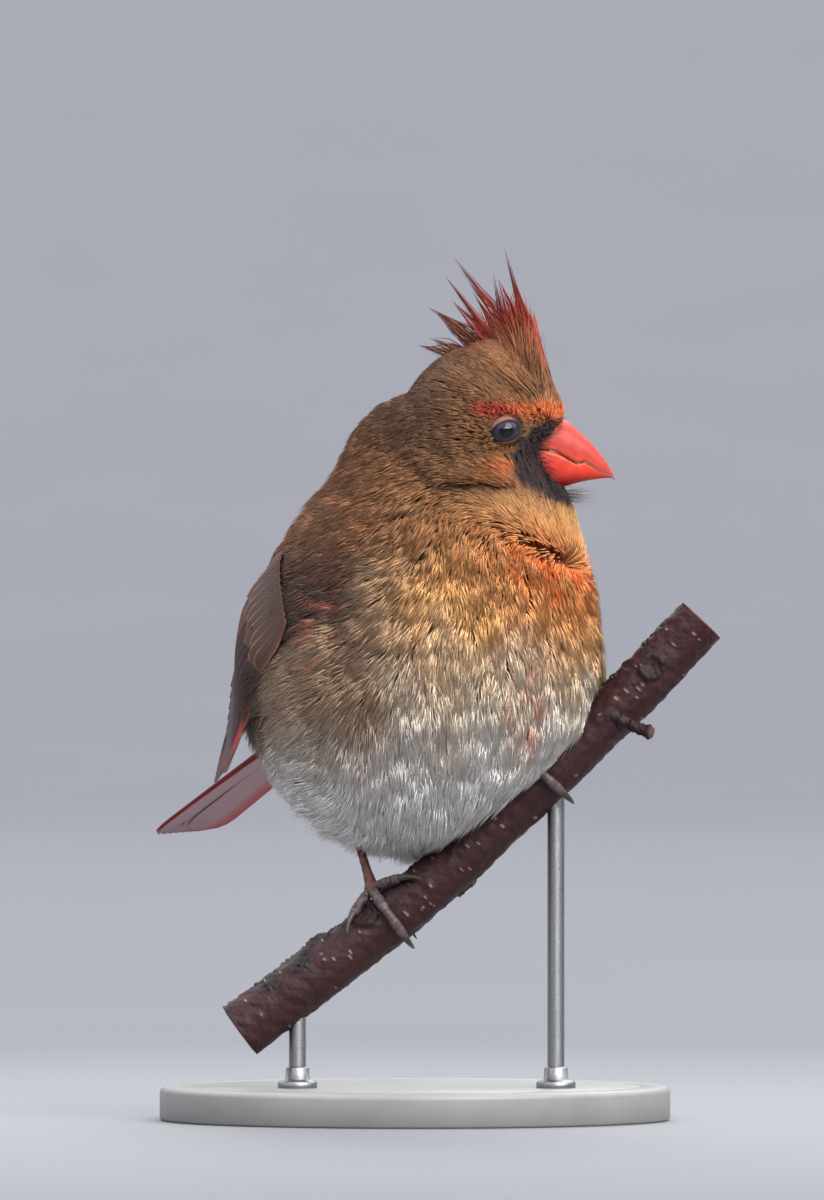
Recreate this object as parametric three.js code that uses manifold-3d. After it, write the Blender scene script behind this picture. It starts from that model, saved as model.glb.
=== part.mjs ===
// A female northern cardinal, life size, fluffed up against the cold on a cut length of branch,
// held by a plain display stand. Millimetres, +Z up. The bird's body faces -Y and +X is its left.
// The origin is the centre of the underside of the stand's base.
import * as THREE from 'three';
import { mergeVertices } from 'three/addons/utils/BufferGeometryUtils.js';
import Module from 'manifold-3d';

// Driving dimensions, in millimetres and degrees

const GAP = 0.3; // the thin cut between neighbouring pieces
const BLEND = 3.2; // how softly the swellings of the body run into each other

// The direction that the branch runs in, seen from above, and the bird's own facing
const BRANCH_YAW = -34; // from +X, so the branch's high end is to the bird's front left
const BRANCH_DEPTH = -15; // the branch's distance behind the body's axis, square to the branch

// Head
const HEAD = { centre: [3, -23, 163], yaw: 51, pitch: 0 };
const EYE = { forward: 6.4, up: -1.5, radius: 3.9, proud: 1.3 };

// Bill, in the head's own frame: forward and up from the head's centre
const CULMEN = [
  [12.0, 0.4], [20.2, 0.8], [23.0, -1.4], [25.2, -3.4], [27.2, -5.6], [28.9, -7.8], [30.2, -9.8], [31.0, -11.5], [31.4, -12.5],
];
const TOMIUM = [[12.0, -5.4], [17.9, -6.3], [20.4, -7.6], [23.2, -9.0], [24.3, -8.6], [25.8, -9.2], [27.7, -10.3], [30.4, -11.9], [31.4, -12.9]];
const GONYS = [[12.0, -14.3], [14.1, -14.5], [16.8, -14.4], [20.0, -14.0], [23.2, -13.2], [26.7, -12.6], [30.4, -12.2]];
const BILL_LENGTH = { upper: 31.4, lower: 30.4 };
const BILL = { gape: 13.0, tip: 0.9 };

// Trunk
const TAIL = { root: [0, 20, 102.2], tip: [0, 109, 64.2], rootWidth: 13, width: 20, thickness: 3.2 };
const WING = { shoulder: [33, -5, 131], elbow: [34.5, 22, 108], tip: [19, 59.5, 77.5], thickness: 3.4 };

// Legs and feet
const TARSUS = { radius: 1.0 };
const TOE = { radius: 1.05, clear: 0.35 };

// Branch: its centre line in the plane it lies in, as [across, height], and its radius there
const BRANCH_LINE = [[-41, 21.5], [-27.5, 31.3], [-3.5, 49.4], [15.3, 66.0], [50.1, 99.8], [67, 117.5]];
const BRANCH_RADIUS = [6.8, 6.5, 6.15, 6.1, 6.1, 6.1];
const TWIG = { start: [46, 95.5], end: [55.4, 91.2], radius: 1.3 };

// Stand
const BASE = { radius: 60, thickness: 8, edge: 1.5 };
const ROD = { radius: 2, lower: -27.5, upper: 33 };

// The thin cuts above and below the neck
const CUT = { below: -15.5, dip: 29, neck: 7 };

const COLOURS = {
  plumage: 0xb09a7c, crown: 0x8c6e50, red: 0xaa3c32, belly: 0xe1d2c3, wing: 0x6e5546, tail: 0xc3a5aa,
  bill: 0xeb4b2d, eye: 0x28232d, leg: 0x7d4b41, claw: 0x4b4442, bark: 0x4b2328, board: 0xd8d4cc, steel: 0x9a9da0,
};

const wasm = await Module();
wasm.setup();

// Frames and small helpers

const radians = THREE.MathUtils.degToRad;
const vector = (x, y, z) => new THREE.Vector3(x, y, z);
const smooth = THREE.MathUtils.smoothstep;
const mix = THREE.MathUtils.lerp;

// The forward, left and up directions of something turned by yaw to the bird's left and pitched nose up.
function facing(yaw, pitch = 0) {
  const level = vector(Math.sin(radians(yaw)), -Math.cos(radians(yaw)), 0);
  const left = vector(Math.cos(radians(yaw)), Math.sin(radians(yaw)), 0);
  const up = vector(0, 0, 1);
  const forward = level.clone().multiplyScalar(Math.cos(radians(pitch))).addScaledVector(up, Math.sin(radians(pitch)));
  const crown = up.multiplyScalar(Math.cos(radians(pitch))).addScaledVector(level, -Math.sin(radians(pitch)));
  return { forward, left, up: crown };
}

const headAxes = facing(HEAD.yaw, HEAD.pitch);

// A point given forward, left and up from the head's centre.
function headPoint(forward, left, up) {
  return vector(...HEAD.centre)
    .addScaledVector(headAxes.forward, forward)
    .addScaledVector(headAxes.left, left)
    .addScaledVector(headAxes.up, up);
}

const branchAlong = vector(Math.cos(radians(BRANCH_YAW)), Math.sin(radians(BRANCH_YAW)), 0);
const branchBack = vector(-branchAlong.y, branchAlong.x, 0);

// A point of the branch's own plane, by its distance across that plane and its height.
function branchPoint(across, height) {
  return branchAlong.clone().multiplyScalar(across).addScaledVector(branchBack, BRANCH_DEPTH).setZ(height);
}

// The body's outer surface, out to the tips of its feathers

// Each swelling: centre, half sizes [lateral, fore and aft, height], and its yaw and nose-up lean.
function lobe(centre, half, yaw = 0, lean = 0) {
  return { centre, half, axes: facing(yaw, lean) };
}

function headLobe(forward, up, half, lean = 0) {
  return lobe(headPoint(forward, 0, up).toArray(), half, HEAD.yaw, HEAD.pitch + lean);
}

const LOBES = [
  lobe([0, -3.5, 103], [41, 45, 42]), // belly
  lobe([0, -11, 124], [34.5, 36, 33]), // breast and shoulders
  lobe([0, 14, 124], [25, 26, 27]), // back
  lobe([0, -1, 148], [18.5, 19, 22.5]), // nape
  lobe([2, -18, 144], [20, 21, 17]), // throat
  headLobe(-1, 1, [13.5, 16.5, 16.5]), // skull
  headLobe(4.5, 10, [7, 8, 8.5]), // crown under the crest
  headLobe(10.5, 2.5, [6.5, 7.5, 6]), // forehead
  headLobe(0, -7, [10, 8, 8]), // cheeks
  headLobe(8, -19, [8, 9, 5.5]), // chin
];

// Signed distance to one swelling, close to true near its surface.
function lobeDistance({ centre, half, axes }, p) {
  const d = vector(p.x - centre[0], p.y - centre[1], p.z - centre[2]);
  const q = [d.dot(axes.left) / half[0], d.dot(axes.forward) / half[1], d.dot(axes.up) / half[2]];
  const k0 = Math.hypot(...q);
  const k1 = Math.hypot(q[0] / half[0], q[1] / half[1], q[2] / half[2]);
  return k1 === 0 ? -Math.min(...half) : (k0 * (k0 - 1)) / k1;
}

// The belly feathers rest along the branch, so below this sloping plane there is none.
const LIFT = { height: 59.5, slope: 0.735, blend: 2.5 };

function bodyDistance(p) {
  let sum = 0;
  for (const each of LOBES) sum += Math.exp(-lobeDistance(each, p) / BLEND);
  const body = -BLEND * Math.log(sum);
  const across = p.dot(branchAlong);
  const below = (LIFT.height + LIFT.slope * across - p.z) / Math.hypot(1, LIFT.slope);
  return LIFT.blend * Math.log(Math.exp(body / LIFT.blend) + Math.exp(below / LIFT.blend));
}

// The line inside the body that its level slices are measured from.
function bodyAxis(z) {
  const rise = smooth(z, 112, 162);
  const sink = 1 - smooth(z, 60, 95);
  return vector(mix(0, HEAD.centre[0], rise) - 4 * sink, mix(-2, HEAD.centre[1], rise) + 5 * sink, z);
}

function rootBetween(inside, outside, f) {
  for (let i = 0; i < 40; i++) {
    const middle = (inside + outside) / 2;
    if (f(middle) < 0) inside = middle;
    else outside = middle;
  }
  return (inside + outside) / 2;
}

// Distance from the body's axis to its surface, level, in the direction given in radians from +X.
function bodyRadius(z, angle) {
  const axis = bodyAxis(z);
  const out = vector(Math.cos(angle), Math.sin(angle), 0);
  return rootBetween(0, 90, (r) => bodyDistance(axis.clone().addScaledVector(out, r)));
}

// Solids

// A closed surface through rings of points, each ring with the same count, closed by a point at each end.
function ringSolid(rings, first, last) {
  const count = rings[0].length;
  const points = [first, ...rings.flat(), last];
  const index = [];
  const at = (ring, k) => 1 + ring * count + (k % count);
  for (let k = 0; k < count; k++) index.push(0, at(0, k + 1), at(0, k));
  for (let ring = 0; ring + 1 < rings.length; ring++) {
    for (let k = 0; k < count; k++) {
      index.push(at(ring, k), at(ring, k + 1), at(ring + 1, k + 1));
      index.push(at(ring, k), at(ring + 1, k + 1), at(ring + 1, k));
    }
  }
  const end = points.length - 1;
  for (let k = 0; k < count; k++) index.push(end, at(rings.length - 1, k), at(rings.length - 1, k + 1));
  return outward(points, index);
}

// The mean of a ring's points, which it leaves as they are.
const middleOf = (ring) => ring.reduce((sum, p) => sum.add(p), vector(0, 0, 0)).divideScalar(ring.length);

// Turns a closed set of triangles so that its faces point out, and makes it a solid.
function outward(points, index) {
  let volume = 0;
  for (let i = 0; i < index.length; i += 3) {
    const [a, b, c] = [points[index[i]], points[index[i + 1]], points[index[i + 2]]];
    volume += a.dot(b.clone().cross(c));
  }
  if (volume < 0) for (let i = 0; i < index.length; i += 3) [index[i], index[i + 1]] = [index[i + 1], index[i]];
  return new wasm.Manifold(
    new wasm.Mesh({
      numProp: 3,
      vertProperties: new Float32Array(points.flatMap((p) => p.toArray())),
      triVerts: new Uint32Array(index),
    }),
  );
}

// A three.js geometry as a solid.
function solidOf(geometry) {
  geometry.deleteAttribute('normal');
  geometry.deleteAttribute('uv');
  const merged = mergeVertices(geometry, 1e-4);
  const { array } = merged.attributes.position;
  const points = [];
  for (let i = 0; i < array.length; i += 3) points.push(vector(array[i], array[i + 1], array[i + 2]));
  return outward(points, [...merged.index.array]);
}

// A round tapering limb through points, with a radius at each and blunt ends.
function limb(points, radii, sides, margin = 0, steps = 3 * points.length) {
  const curve = new THREE.CatmullRomCurve3(points);
  const rings = [];
  let side = new THREE.Vector3().crossVectors(curve.getTangent(0), vector(0, 0, 1));
  if (side.length() < 0.1) side = vector(1, 0, 0);
  for (let i = 0; i <= steps; i++) {
    const t = i / steps;
    const tangent = curve.getTangent(t);
    side.addScaledVector(tangent, -side.dot(tangent)).normalize();
    const other = tangent.clone().cross(side);
    const place = t * (radii.length - 1);
    const low = Math.min(Math.floor(place), radii.length - 2);
    const radius = mix(radii[low], radii[low + 1], place - low) + margin;
    rings.push(Array.from({ length: sides }, (_, k) => {
      const turn = (2 * Math.PI * k) / sides;
      return curve.getPoint(t).addScaledVector(side, radius * Math.cos(turn)).addScaledVector(other, radius * Math.sin(turn));
    }));
  }
  const ends = [0, 1].map((t) => {
    const radius = (t ? radii[radii.length - 1] : radii[0]) + margin;
    return curve.getPoint(t).addScaledVector(curve.getTangent(t), (t ? 0.5 : -0.5) * radius);
  });
  return ringSolid(rings, ends[0], ends[1]);
}

// A wide block that keeps what lies above a plane that passes below the head and dips in front.
function aboveCut(down) {
  const size = 400;
  const box = new THREE.BoxGeometry(size, size, size).toNonIndexed();
  box.translate(0, 0, size / 2);
  box.applyMatrix4(new THREE.Matrix4().makeRotationAxis(headAxes.left, radians(CUT.dip)));
  const normal = vector(0, 0, 1).applyAxisAngle(headAxes.left, radians(CUT.dip));
  box.translate(...headPoint(0, 0, CUT.below).addScaledVector(normal, -down).toArray());
  return solidOf(box);
}

// Body

const BODY = { rings: 26, sides: 30 };

function bodySolid() {
  const foot = rootBetween(90, 40, (z) => bodyDistance(bodyAxis(z)));
  const crown = rootBetween(165, 215, (z) => bodyDistance(bodyAxis(z)));
  const rings = [];
  for (let i = 1; i < BODY.rings; i++) {
    const z = mix(foot, crown, 0.5 - 0.5 * Math.cos((Math.PI * i) / BODY.rings));
    rings.push(Array.from({ length: BODY.sides }, (_, k) => {
      const angle = (2 * Math.PI * k) / BODY.sides;
      const radius = bodyRadius(z, angle);
      return bodyAxis(z).add(vector(Math.cos(angle), Math.sin(angle), 0).multiplyScalar(radius));
    }));
  }
  return ringSolid(rings, bodyAxis(foot), bodyAxis(crown));
}

// Crest: a fan of pointed locks from the forehead back over the crown, front to back. Each lock
// has its root's place forward on the head, then its tip's place forward and up.

const LOCKS = [
  [12.8, 5.5, 42.9], [12.4, 8.4, 34.4], [11.5, 3.7, 35.3], [10, 2.7, 36.8], [10.5, -6.5, 40.3], [8, -1.4, 35.1],
  [6.5, -8.2, 36], [3.5, -12.8, 28.8], [1, -9.9, 26.6], [-2, -12.2, 21.4], [-4.5, -14.9, 19.7],
];
const CREST = { sink: 3, rootRadius: 2.6, tipRadius: 0.3, sway: 1.8, curl: 0.8 };

function crestLock([forward, tipForward, tipUp], i, margin) {
  const height = rootBetween(0, 30, (up) => bodyDistance(headPoint(forward, 0, up)));
  const sway = i % 2 ? CREST.sway : -CREST.sway;
  const root = headPoint(forward, 0, height - CREST.sink);
  const middle = headPoint(mix(forward, tipForward, 0.5) + CREST.curl, sway / 2, mix(height, tipUp, 0.5));
  const tip = headPoint(tipForward, sway, tipUp);
  return limb([root, middle, tip], [CREST.rootRadius, 0.4 * CREST.rootRadius, CREST.tipRadius], 4, margin, 4);
}

function crestSolid(margin = 0) {
  return LOCKS.map((lock, i) => crestLock(lock, i, margin)).reduce((crest, lock) => crest.add(lock));
}

// Bill: each half is a run of upright sections between its ridge and its cutting edge.

function alongProfile(profile, forward) {
  const last = profile.length - 1;
  if (forward >= profile[last][0]) return profile[last][1];
  const i = Math.max(profile.findIndex((p) => p[0] > forward) - 1, 0);
  const [a, b] = [profile[i], profile[i + 1]];
  return mix(a[1], b[1], (forward - a[0]) / (b[0] - a[0]));
}

function billHalf(ridge, edge, length, sign, margin = 0) {
  const rings = [];
  const steps = 8;
  for (let i = 0; i <= steps; i++) {
    const t = i / steps;
    const forward = mix(12, length, Math.sin((Math.PI / 2) * t));
    const high = alongProfile(ridge, forward);
    const low = alongProfile(edge, forward) + sign * GAP / 2;
    const depth = Math.max(Math.abs(high - low), 0.5);
    const half = mix(BILL.gape / 2, BILL.tip / 2, ((forward - 12) / (length - 12)) ** 1.35);
    rings.push(Array.from({ length: 9 }, (_, k) => {
      const turn = (Math.PI * k) / 8;
      const across = (half + margin) * Math.cos(turn);
      return headPoint(forward, across, low - sign * margin + sign * (depth + 2 * margin) * Math.sin(turn) ** 0.8);
    }));
  }
  return ringSolid(rings, middleOf(rings[0]), middleOf(rings[steps]));
}

const billUpper = (margin = 0) => billHalf(CULMEN, TOMIUM, BILL_LENGTH.upper, 1, margin);
const billLower = (margin = 0) => billHalf(GONYS, TOMIUM, BILL_LENGTH.lower, -1, margin);

// Eyes

function eyeball(side, margin = 0) {
  const out = rootBetween(0, 25, (v) => bodyDistance(headPoint(EYE.forward, side * v, EYE.up)));
  const ball = new THREE.SphereGeometry(EYE.radius + margin, 12, 8);
  ball.translate(...headPoint(EYE.forward, side * (out + EYE.proud - EYE.radius), EYE.up).toArray());
  return solidOf(ball);
}

// Wings: a curved plate that lies against the body and runs out free beyond it.

const WING_SHAPE = {
  steps: 10, across: 6,
  halfWidth: [9, 16, 17, 15, 10, 2.6],
};

function wingPoint(side, s, t) {
  const path = new THREE.QuadraticBezierCurve3(
    vector(side * WING.shoulder[0], WING.shoulder[1], WING.shoulder[2]),
    vector(side * WING.elbow[0], WING.elbow[1], WING.elbow[2]),
    vector(side * WING.tip[0], WING.tip[1], WING.tip[2]),
  );
  const place = s * (WING_SHAPE.halfWidth.length - 1);
  const low = Math.min(Math.floor(place), WING_SHAPE.halfWidth.length - 2);
  const half = mix(WING_SHAPE.halfWidth[low], WING_SHAPE.halfWidth[low + 1], place - low);
  const point = path.getPoint(s);
  const tangent = path.getTangent(s);
  const outwards = vector(side, 0.55, 0.2).normalize();
  const across = tangent.clone().cross(outwards).multiplyScalar(-side).normalize();
  point.addScaledVector(across, half * t);
  const axis = bodyAxis(point.z);
  const offset = point.clone().sub(axis).setZ(0);
  const skin = bodyRadius(point.z, Math.atan2(offset.y, offset.x));
  const crown = mix(-1, 1.8, smooth(s, 0.15, 0.4));
  const edge = t < 0 ? -0.4 : -2.6;
  const lift = mix(mix(crown, Math.min(edge, crown), smooth(Math.abs(t), 0.6, 1)), 1.4, smooth(s, 0.6, 1));
  const clear = 1.5;
  const reach = skin + lift + clear * Math.log1p(Math.exp((offset.length() - skin - lift) / clear));
  return axis.add(offset.setLength(reach));
}

function wingSolid(side, margin = 0) {
  const rings = [];
  const { steps, across } = WING_SHAPE;
  for (let i = 0; i <= steps; i++) {
    const s = i / steps;
    const outer = [];
    const inner = [];
    for (let k = 0; k <= across; k++) {
      const t = (2 * k) / across - 1;
      const p = wingPoint(side, s, t);
      const along = wingPoint(side, Math.min(s + 0.02, 1), t).sub(wingPoint(side, Math.max(s - 0.02, 0), t));
      const over = wingPoint(side, s, Math.min(t + 0.05, 1)).sub(wingPoint(side, s, Math.max(t - 0.05, -1)));
      const normal = along.cross(over).normalize().multiplyScalar(side);
      const thick = WING.thickness * (0.35 + 0.65 * Math.sqrt(1 - (0.97 * t) ** 2)) * mix(1, 0.5, s);
      outer.push(p.clone().addScaledVector(normal, margin));
      inner.push(p.clone().addScaledVector(normal, -thick - margin));
    }
    rings.push([...outer, ...inner.reverse()]);
  }
  return ringSolid(rings, middleOf(rings[0]), middleOf(rings[steps]));
}

// Tail: the twelve long feathers closed over each other, arched across and round at the end.

function tailSolid(margin = 0) {
  const root = vector(...TAIL.root);
  const along = vector(...TAIL.tip).sub(root);
  const length = along.length();
  along.normalize();
  const up = vector(0, 0, 1).addScaledVector(along, -along.z).normalize();
  const rings = [];
  const steps = 8;
  const across = 6;
  for (let i = 0; i <= steps; i++) {
    const s = i / steps;
    const half = mix(TAIL.rootWidth, TAIL.width, Math.sin((Math.PI / 2) * Math.min(s * 1.3, 1))) / 2;
    const over = [];
    const under = [];
    for (let k = 0; k <= across; k++) {
      const t = (2 * k) / across - 1;
      const reach = s * (length - 5 * t * t * s);
      const arch = 2.2 * (1 - t * t);
      const thick = TAIL.thickness * mix(1, 0.45, s) * (1 - 0.6 * t * t);
      const p = root.clone().addScaledVector(along, reach).add(vector((half + margin) * t, 0, 0));
      over.push(p.clone().addScaledVector(up, arch + margin));
      under.push(p.clone().addScaledVector(up, arch - thick - margin));
    }
    rings.push([...over, ...under.reverse()]);
  }
  return ringSolid(rings, middleOf(rings[0]), middleOf(rings[steps]));
}

// Branch

const branchCurve = new THREE.CatmullRomCurve3(BRANCH_LINE.map(([across, height]) => branchPoint(across, height)));

function branchSolid(margin = 0) {
  const wood = limb(branchCurve.points, BRANCH_RADIUS, 10, margin, 14);
  const twig = limb(
    [branchPoint(...TWIG.start).addScaledVector(branchBack, -4), branchPoint(...TWIG.end).addScaledVector(branchBack, -9)],
    [TWIG.radius * 1.5, TWIG.radius], 6, margin, 3,
  );
  return wood.add(twig);
}

// Feet: each toe wraps the branch as a helix, then its claw leaves it along an arc.

const FEET = [
  { side: 'right', across: -4.9, tibia: [-18, 5, 80] },
  { side: 'left', across: 30.2, tibia: [16, -13, 106] },
];
const DIGITS = [
  { name: 'hallux', forward: -1, spread: 4, length: 10, claw: 7.5 },
  { name: 'inner', forward: 1, spread: 58, length: 8.4, claw: 4.8 },
  { name: 'middle', forward: 1, spread: -4, length: 14.5, claw: 6.5 },
  { name: 'outer', forward: 1, spread: -62, length: 8.4, claw: 4.6 },
];

// The branch's centre, direction, top and near side where it crosses a given distance across.
function branchFrame(across) {
  const t = rootBetween(0, 1, (u) => branchCurve.getPoint(u).dot(branchAlong) - across);
  const along = branchCurve.getTangent(t);
  const near = branchBack.clone().negate();
  return { centre: branchCurve.getPoint(t), along, near, top: near.clone().cross(along) };
}

// A point on the branch, wrapped round from its top towards its near side by an arc, and shifted along it.
function wrapPoint(frame, arc, shift, reach) {
  const turn = arc / 6.15;
  return frame.centre.clone()
    .addScaledVector(frame.along, shift)
    .addScaledVector(frame.top, reach * Math.cos(turn))
    .addScaledVector(frame.near, reach * Math.sin(turn));
}

const mirrored = (foot) => (foot.side === 'right' ? 1 : -1);

function toePath(foot, digit) {
  const frame = branchFrame(foot.across);
  const spread = radians(digit.spread) * mirrored(foot);
  const reach = 6.3 + TOE.radius + TOE.clear;
  return [0.22, 0.4, 0.6, 0.8, 1].map((s) => {
    const run = s * digit.length;
    return wrapPoint(frame, digit.forward * run * Math.cos(spread), run * Math.sin(spread), reach);
  });
}

function toe(foot, digit, margin = 0) {
  return limb(toePath(foot, digit), [1.15, 1.1, 1.0, 0.95, 0.85], 5, margin, 5);
}

function claw(foot, digit, margin = 0) {
  const path = toePath(foot, digit);
  const end = path[path.length - 1];
  const ahead = end.clone().sub(path[path.length - 2]).normalize();
  const inward = branchFrame(foot.across).centre.sub(end);
  inward.addScaledVector(ahead, -inward.dot(ahead)).normalize();
  const bend = 9;
  const points = [0, 0.33, 0.66, 1].map((s) => {
    const turn = (0.9 + s * digit.claw) / bend;
    return end.clone().addScaledVector(ahead, bend * Math.sin(turn)).addScaledVector(inward, bend * (1 - Math.cos(turn)));
  });
  return limb(points, [0.75, 0.7, 0.5, 0.28], 5, margin, 4);
}

function ankle(foot) {
  return wrapPoint(branchFrame(foot.across), 0, 0, 6.3 + TOE.radius + TOE.clear + 0.3);
}

function tarsus(foot, margin = 0) {
  const low = ankle(foot);
  const high = vector(...foot.tibia);
  const middle = low.clone().lerp(high, 0.5);
  const shaft = limb([low, middle, high], [1.35, TARSUS.radius, 1.2], 6, margin, 5);
  const pad = new THREE.SphereGeometry(1, 8, 6);
  pad.scale(2.5 + margin, 2.5 + margin, 1.35 + margin);
  pad.translate(...low.toArray());
  return shaft.add(solidOf(pad));
}

// Stand

function baseSolid() {
  const { radius, thickness, edge } = BASE;
  const profile = [[0, 0], [radius, 0], [radius, thickness - edge], [radius - edge, thickness], [0, thickness]];
  const disc = new THREE.LatheGeometry(profile.map(([r, z]) => new THREE.Vector2(r, z)), 36);
  disc.rotateX(Math.PI / 2);
  return solidOf(disc);
}

function rodSolid(across) {
  const { centre } = branchFrame(across);
  const height = centre.z - BASE.thickness;
  const rod = new THREE.CylinderGeometry(ROD.radius, ROD.radius, height, 20);
  rod.rotateX(Math.PI / 2);
  rod.translate(centre.x, centre.y, BASE.thickness + height / 2);
  return solidOf(rod);
}

// Cutting the pieces apart

const perch = branchSolid();
const perchSpace = branchSolid(GAP);
const eyes = { right: eyeball(-1), left: eyeball(1) };
const bill = { upper: billUpper(), lower: billLower() };
const billSpace = billUpper(GAP).add(billLower(GAP));

const feet = {};
let feetSpace = perchSpace;
for (const foot of FEET) {
  feet[foot.side] = { tarsus: tarsus(foot) };
  let taken = tarsus(foot, GAP);
  for (const digit of DIGITS) {
    feet[foot.side][digit.name] = toe(foot, digit).subtract(taken);
    taken = taken.add(toe(foot, digit, GAP));
  }
  for (const digit of DIGITS) {
    feet[foot.side][digit.name + 'Claw'] = claw(foot, digit).subtract(toe(foot, digit, GAP));
    taken = taken.add(claw(foot, digit, GAP));
  }
  feetSpace = feetSpace.add(taken);
}

const wings = { right: wingSolid(-1), left: wingSolid(1) };
const wingSpace = wingSolid(-1, 1.5 * GAP).add(wingSolid(1, 1.5 * GAP)).add(wings.right).add(wings.left);
const tail = tailSolid().subtract(wingSpace);
const tailSpace = tailSolid(GAP);

const flesh = bodySolid().subtract(feetSpace).subtract(wingSpace).subtract(tailSpace);
const head = flesh.intersect(aboveCut(0)).subtract(eyeball(-1, GAP)).subtract(eyeball(1, GAP))
  .subtract(billSpace).subtract(crestSolid(GAP));
const neck = flesh.subtract(aboveCut(GAP)).intersect(aboveCut(CUT.neck));
const trunk = flesh.subtract(aboveCut(CUT.neck + GAP));

// Meshes

function largest(solid) {
  const pieces = solid.decompose();
  return pieces.reduce((best, each) => (each.volume() > best.volume() ? each : best));
}

function mesh(name, solid, color, roughness = 0.8, metalness = 0) {
  const { numProp, vertProperties, triVerts } = largest(solid).getMesh();
  const positions = new Float32Array((vertProperties.length / numProp) * 3);
  for (let i = 0; i < positions.length / 3; i++) {
    for (let k = 0; k < 3; k++) positions[3 * i + k] = vertProperties[numProp * i + k];
  }
  const geometry = new THREE.BufferGeometry();
  geometry.setAttribute('position', new THREE.BufferAttribute(positions, 3));
  geometry.setIndex(new THREE.BufferAttribute(triVerts, 1));
  geometry.computeVertexNormals();
  const made = new THREE.Mesh(geometry, new THREE.MeshStandardMaterial({ color, roughness, metalness }));
  made.name = name;
  return made;
}

const bird = new THREE.Group();
bird.add(
  mesh('head', head, COLOURS.crown),
  mesh('crest', crestSolid(), COLOURS.red),
  mesh('neck', neck, COLOURS.plumage),
  mesh('trunk', trunk, COLOURS.belly),
  mesh('tail', tail, COLOURS.tail),
  mesh('wing_right', wings.right, COLOURS.wing),
  mesh('wing_left', wings.left, COLOURS.wing),
  mesh('eye_right', eyes.right, COLOURS.eye, 0.1),
  mesh('eye_left', eyes.left, COLOURS.eye, 0.1),
  mesh('bill_upper', bill.upper, COLOURS.bill, 0.4),
  mesh('bill_lower', bill.lower, COLOURS.bill, 0.4),
);
for (const { side } of FEET) {
  bird.add(mesh('tarsus_' + side, feet[side].tarsus, COLOURS.leg, 0.7));
  for (const { name } of DIGITS) {
    bird.add(mesh('toe_' + side + '_' + name, feet[side][name], COLOURS.leg, 0.7));
    bird.add(mesh('claw_' + side + '_' + name, feet[side][name + 'Claw'], COLOURS.claw, 0.5));
  }
}

const stand = new THREE.Group();
stand.add(
  mesh('perch', perch, COLOURS.bark, 0.75),
  mesh('stand_base', baseSolid(), COLOURS.board, 0.6),
  mesh('stand_rod_lower', rodSolid(ROD.lower).subtract(perchSpace), COLOURS.steel, 0.35, 1),
  mesh('stand_rod_upper', rodSolid(ROD.upper).subtract(perchSpace), COLOURS.steel, 0.35, 1),
);

const cardinal = new THREE.Group();
cardinal.add(bird, stand);
export default cardinal;
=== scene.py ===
"""A life-size female northern cardinal, fluffed against the cold, on a cut branch over a plain stand.

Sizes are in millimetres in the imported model's frame: +Z up, the body faces -Y and +X is the bird's left.
The head has a frame of its own, whose coordinates are forward, left and up from the head's centre.
"""
import logging
import math
from dataclasses import dataclass, field
from enum import Enum

import bpy
import numpy as np
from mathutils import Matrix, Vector


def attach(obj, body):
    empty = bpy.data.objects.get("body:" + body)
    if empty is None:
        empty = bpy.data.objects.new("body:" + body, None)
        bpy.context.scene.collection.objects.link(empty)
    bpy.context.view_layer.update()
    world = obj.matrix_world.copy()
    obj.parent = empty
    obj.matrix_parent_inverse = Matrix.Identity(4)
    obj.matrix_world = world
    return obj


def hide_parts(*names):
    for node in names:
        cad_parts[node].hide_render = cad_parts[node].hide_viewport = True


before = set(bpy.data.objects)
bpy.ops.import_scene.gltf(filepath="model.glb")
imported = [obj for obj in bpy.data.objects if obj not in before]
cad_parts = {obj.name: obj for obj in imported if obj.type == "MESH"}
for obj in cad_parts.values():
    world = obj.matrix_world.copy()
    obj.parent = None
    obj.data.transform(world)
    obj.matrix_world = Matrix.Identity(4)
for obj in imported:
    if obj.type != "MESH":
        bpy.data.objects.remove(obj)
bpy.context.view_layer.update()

MM = 0.001
Array = np.ndarray
Material = bpy.types.Material
Socket = bpy.types.NodeSocket
log = logging.getLogger("cardinal")

# Small maths on whole arrays


def unit(v: Array) -> Array:
    """Vectors scaled to length one."""
    return v / np.maximum(np.linalg.norm(v, axis=-1, keepdims=True), 1e-9)


def smooth(x: Array, low: float, high: float) -> Array:
    """A soft step from 0 at low to 1 at high: 3 t squared minus 2 t cubed."""
    t = np.clip((x - low) / (high - low), 0.0, 1.0)
    return t * t * (3.0 - 2.0 * t)


def mix(a: Array, b: Array, t: Array) -> Array:
    """The value a fraction t of the way from a to b."""
    return a + (b - a) * t


def bell(x: Array, centre: float, width: float) -> Array:
    """A hump of height one: e to the minus ((x - centre) / width) squared."""
    return np.exp(-(((x - centre) / width) ** 2))


def facing(yaw: float, pitch: float = 0.0) -> Array:
    """The forward, left and up directions, as rows, of something turned to the bird's left.

    Args:
        yaw: the turn to the left from -Y, in degrees.
        pitch: the nose-up tilt in degrees.

    Returns:
        Three unit rows.
    """
    a, b = math.radians(yaw), math.radians(pitch)
    level = np.array([math.sin(a), -math.cos(a), 0.0])
    up = np.array([0.0, 0.0, 1.0])
    left = np.array([math.cos(a), math.sin(a), 0.0])
    return np.array([level * math.cos(b) + up * math.sin(b), left, up * math.cos(b) - level * math.sin(b)])


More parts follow.
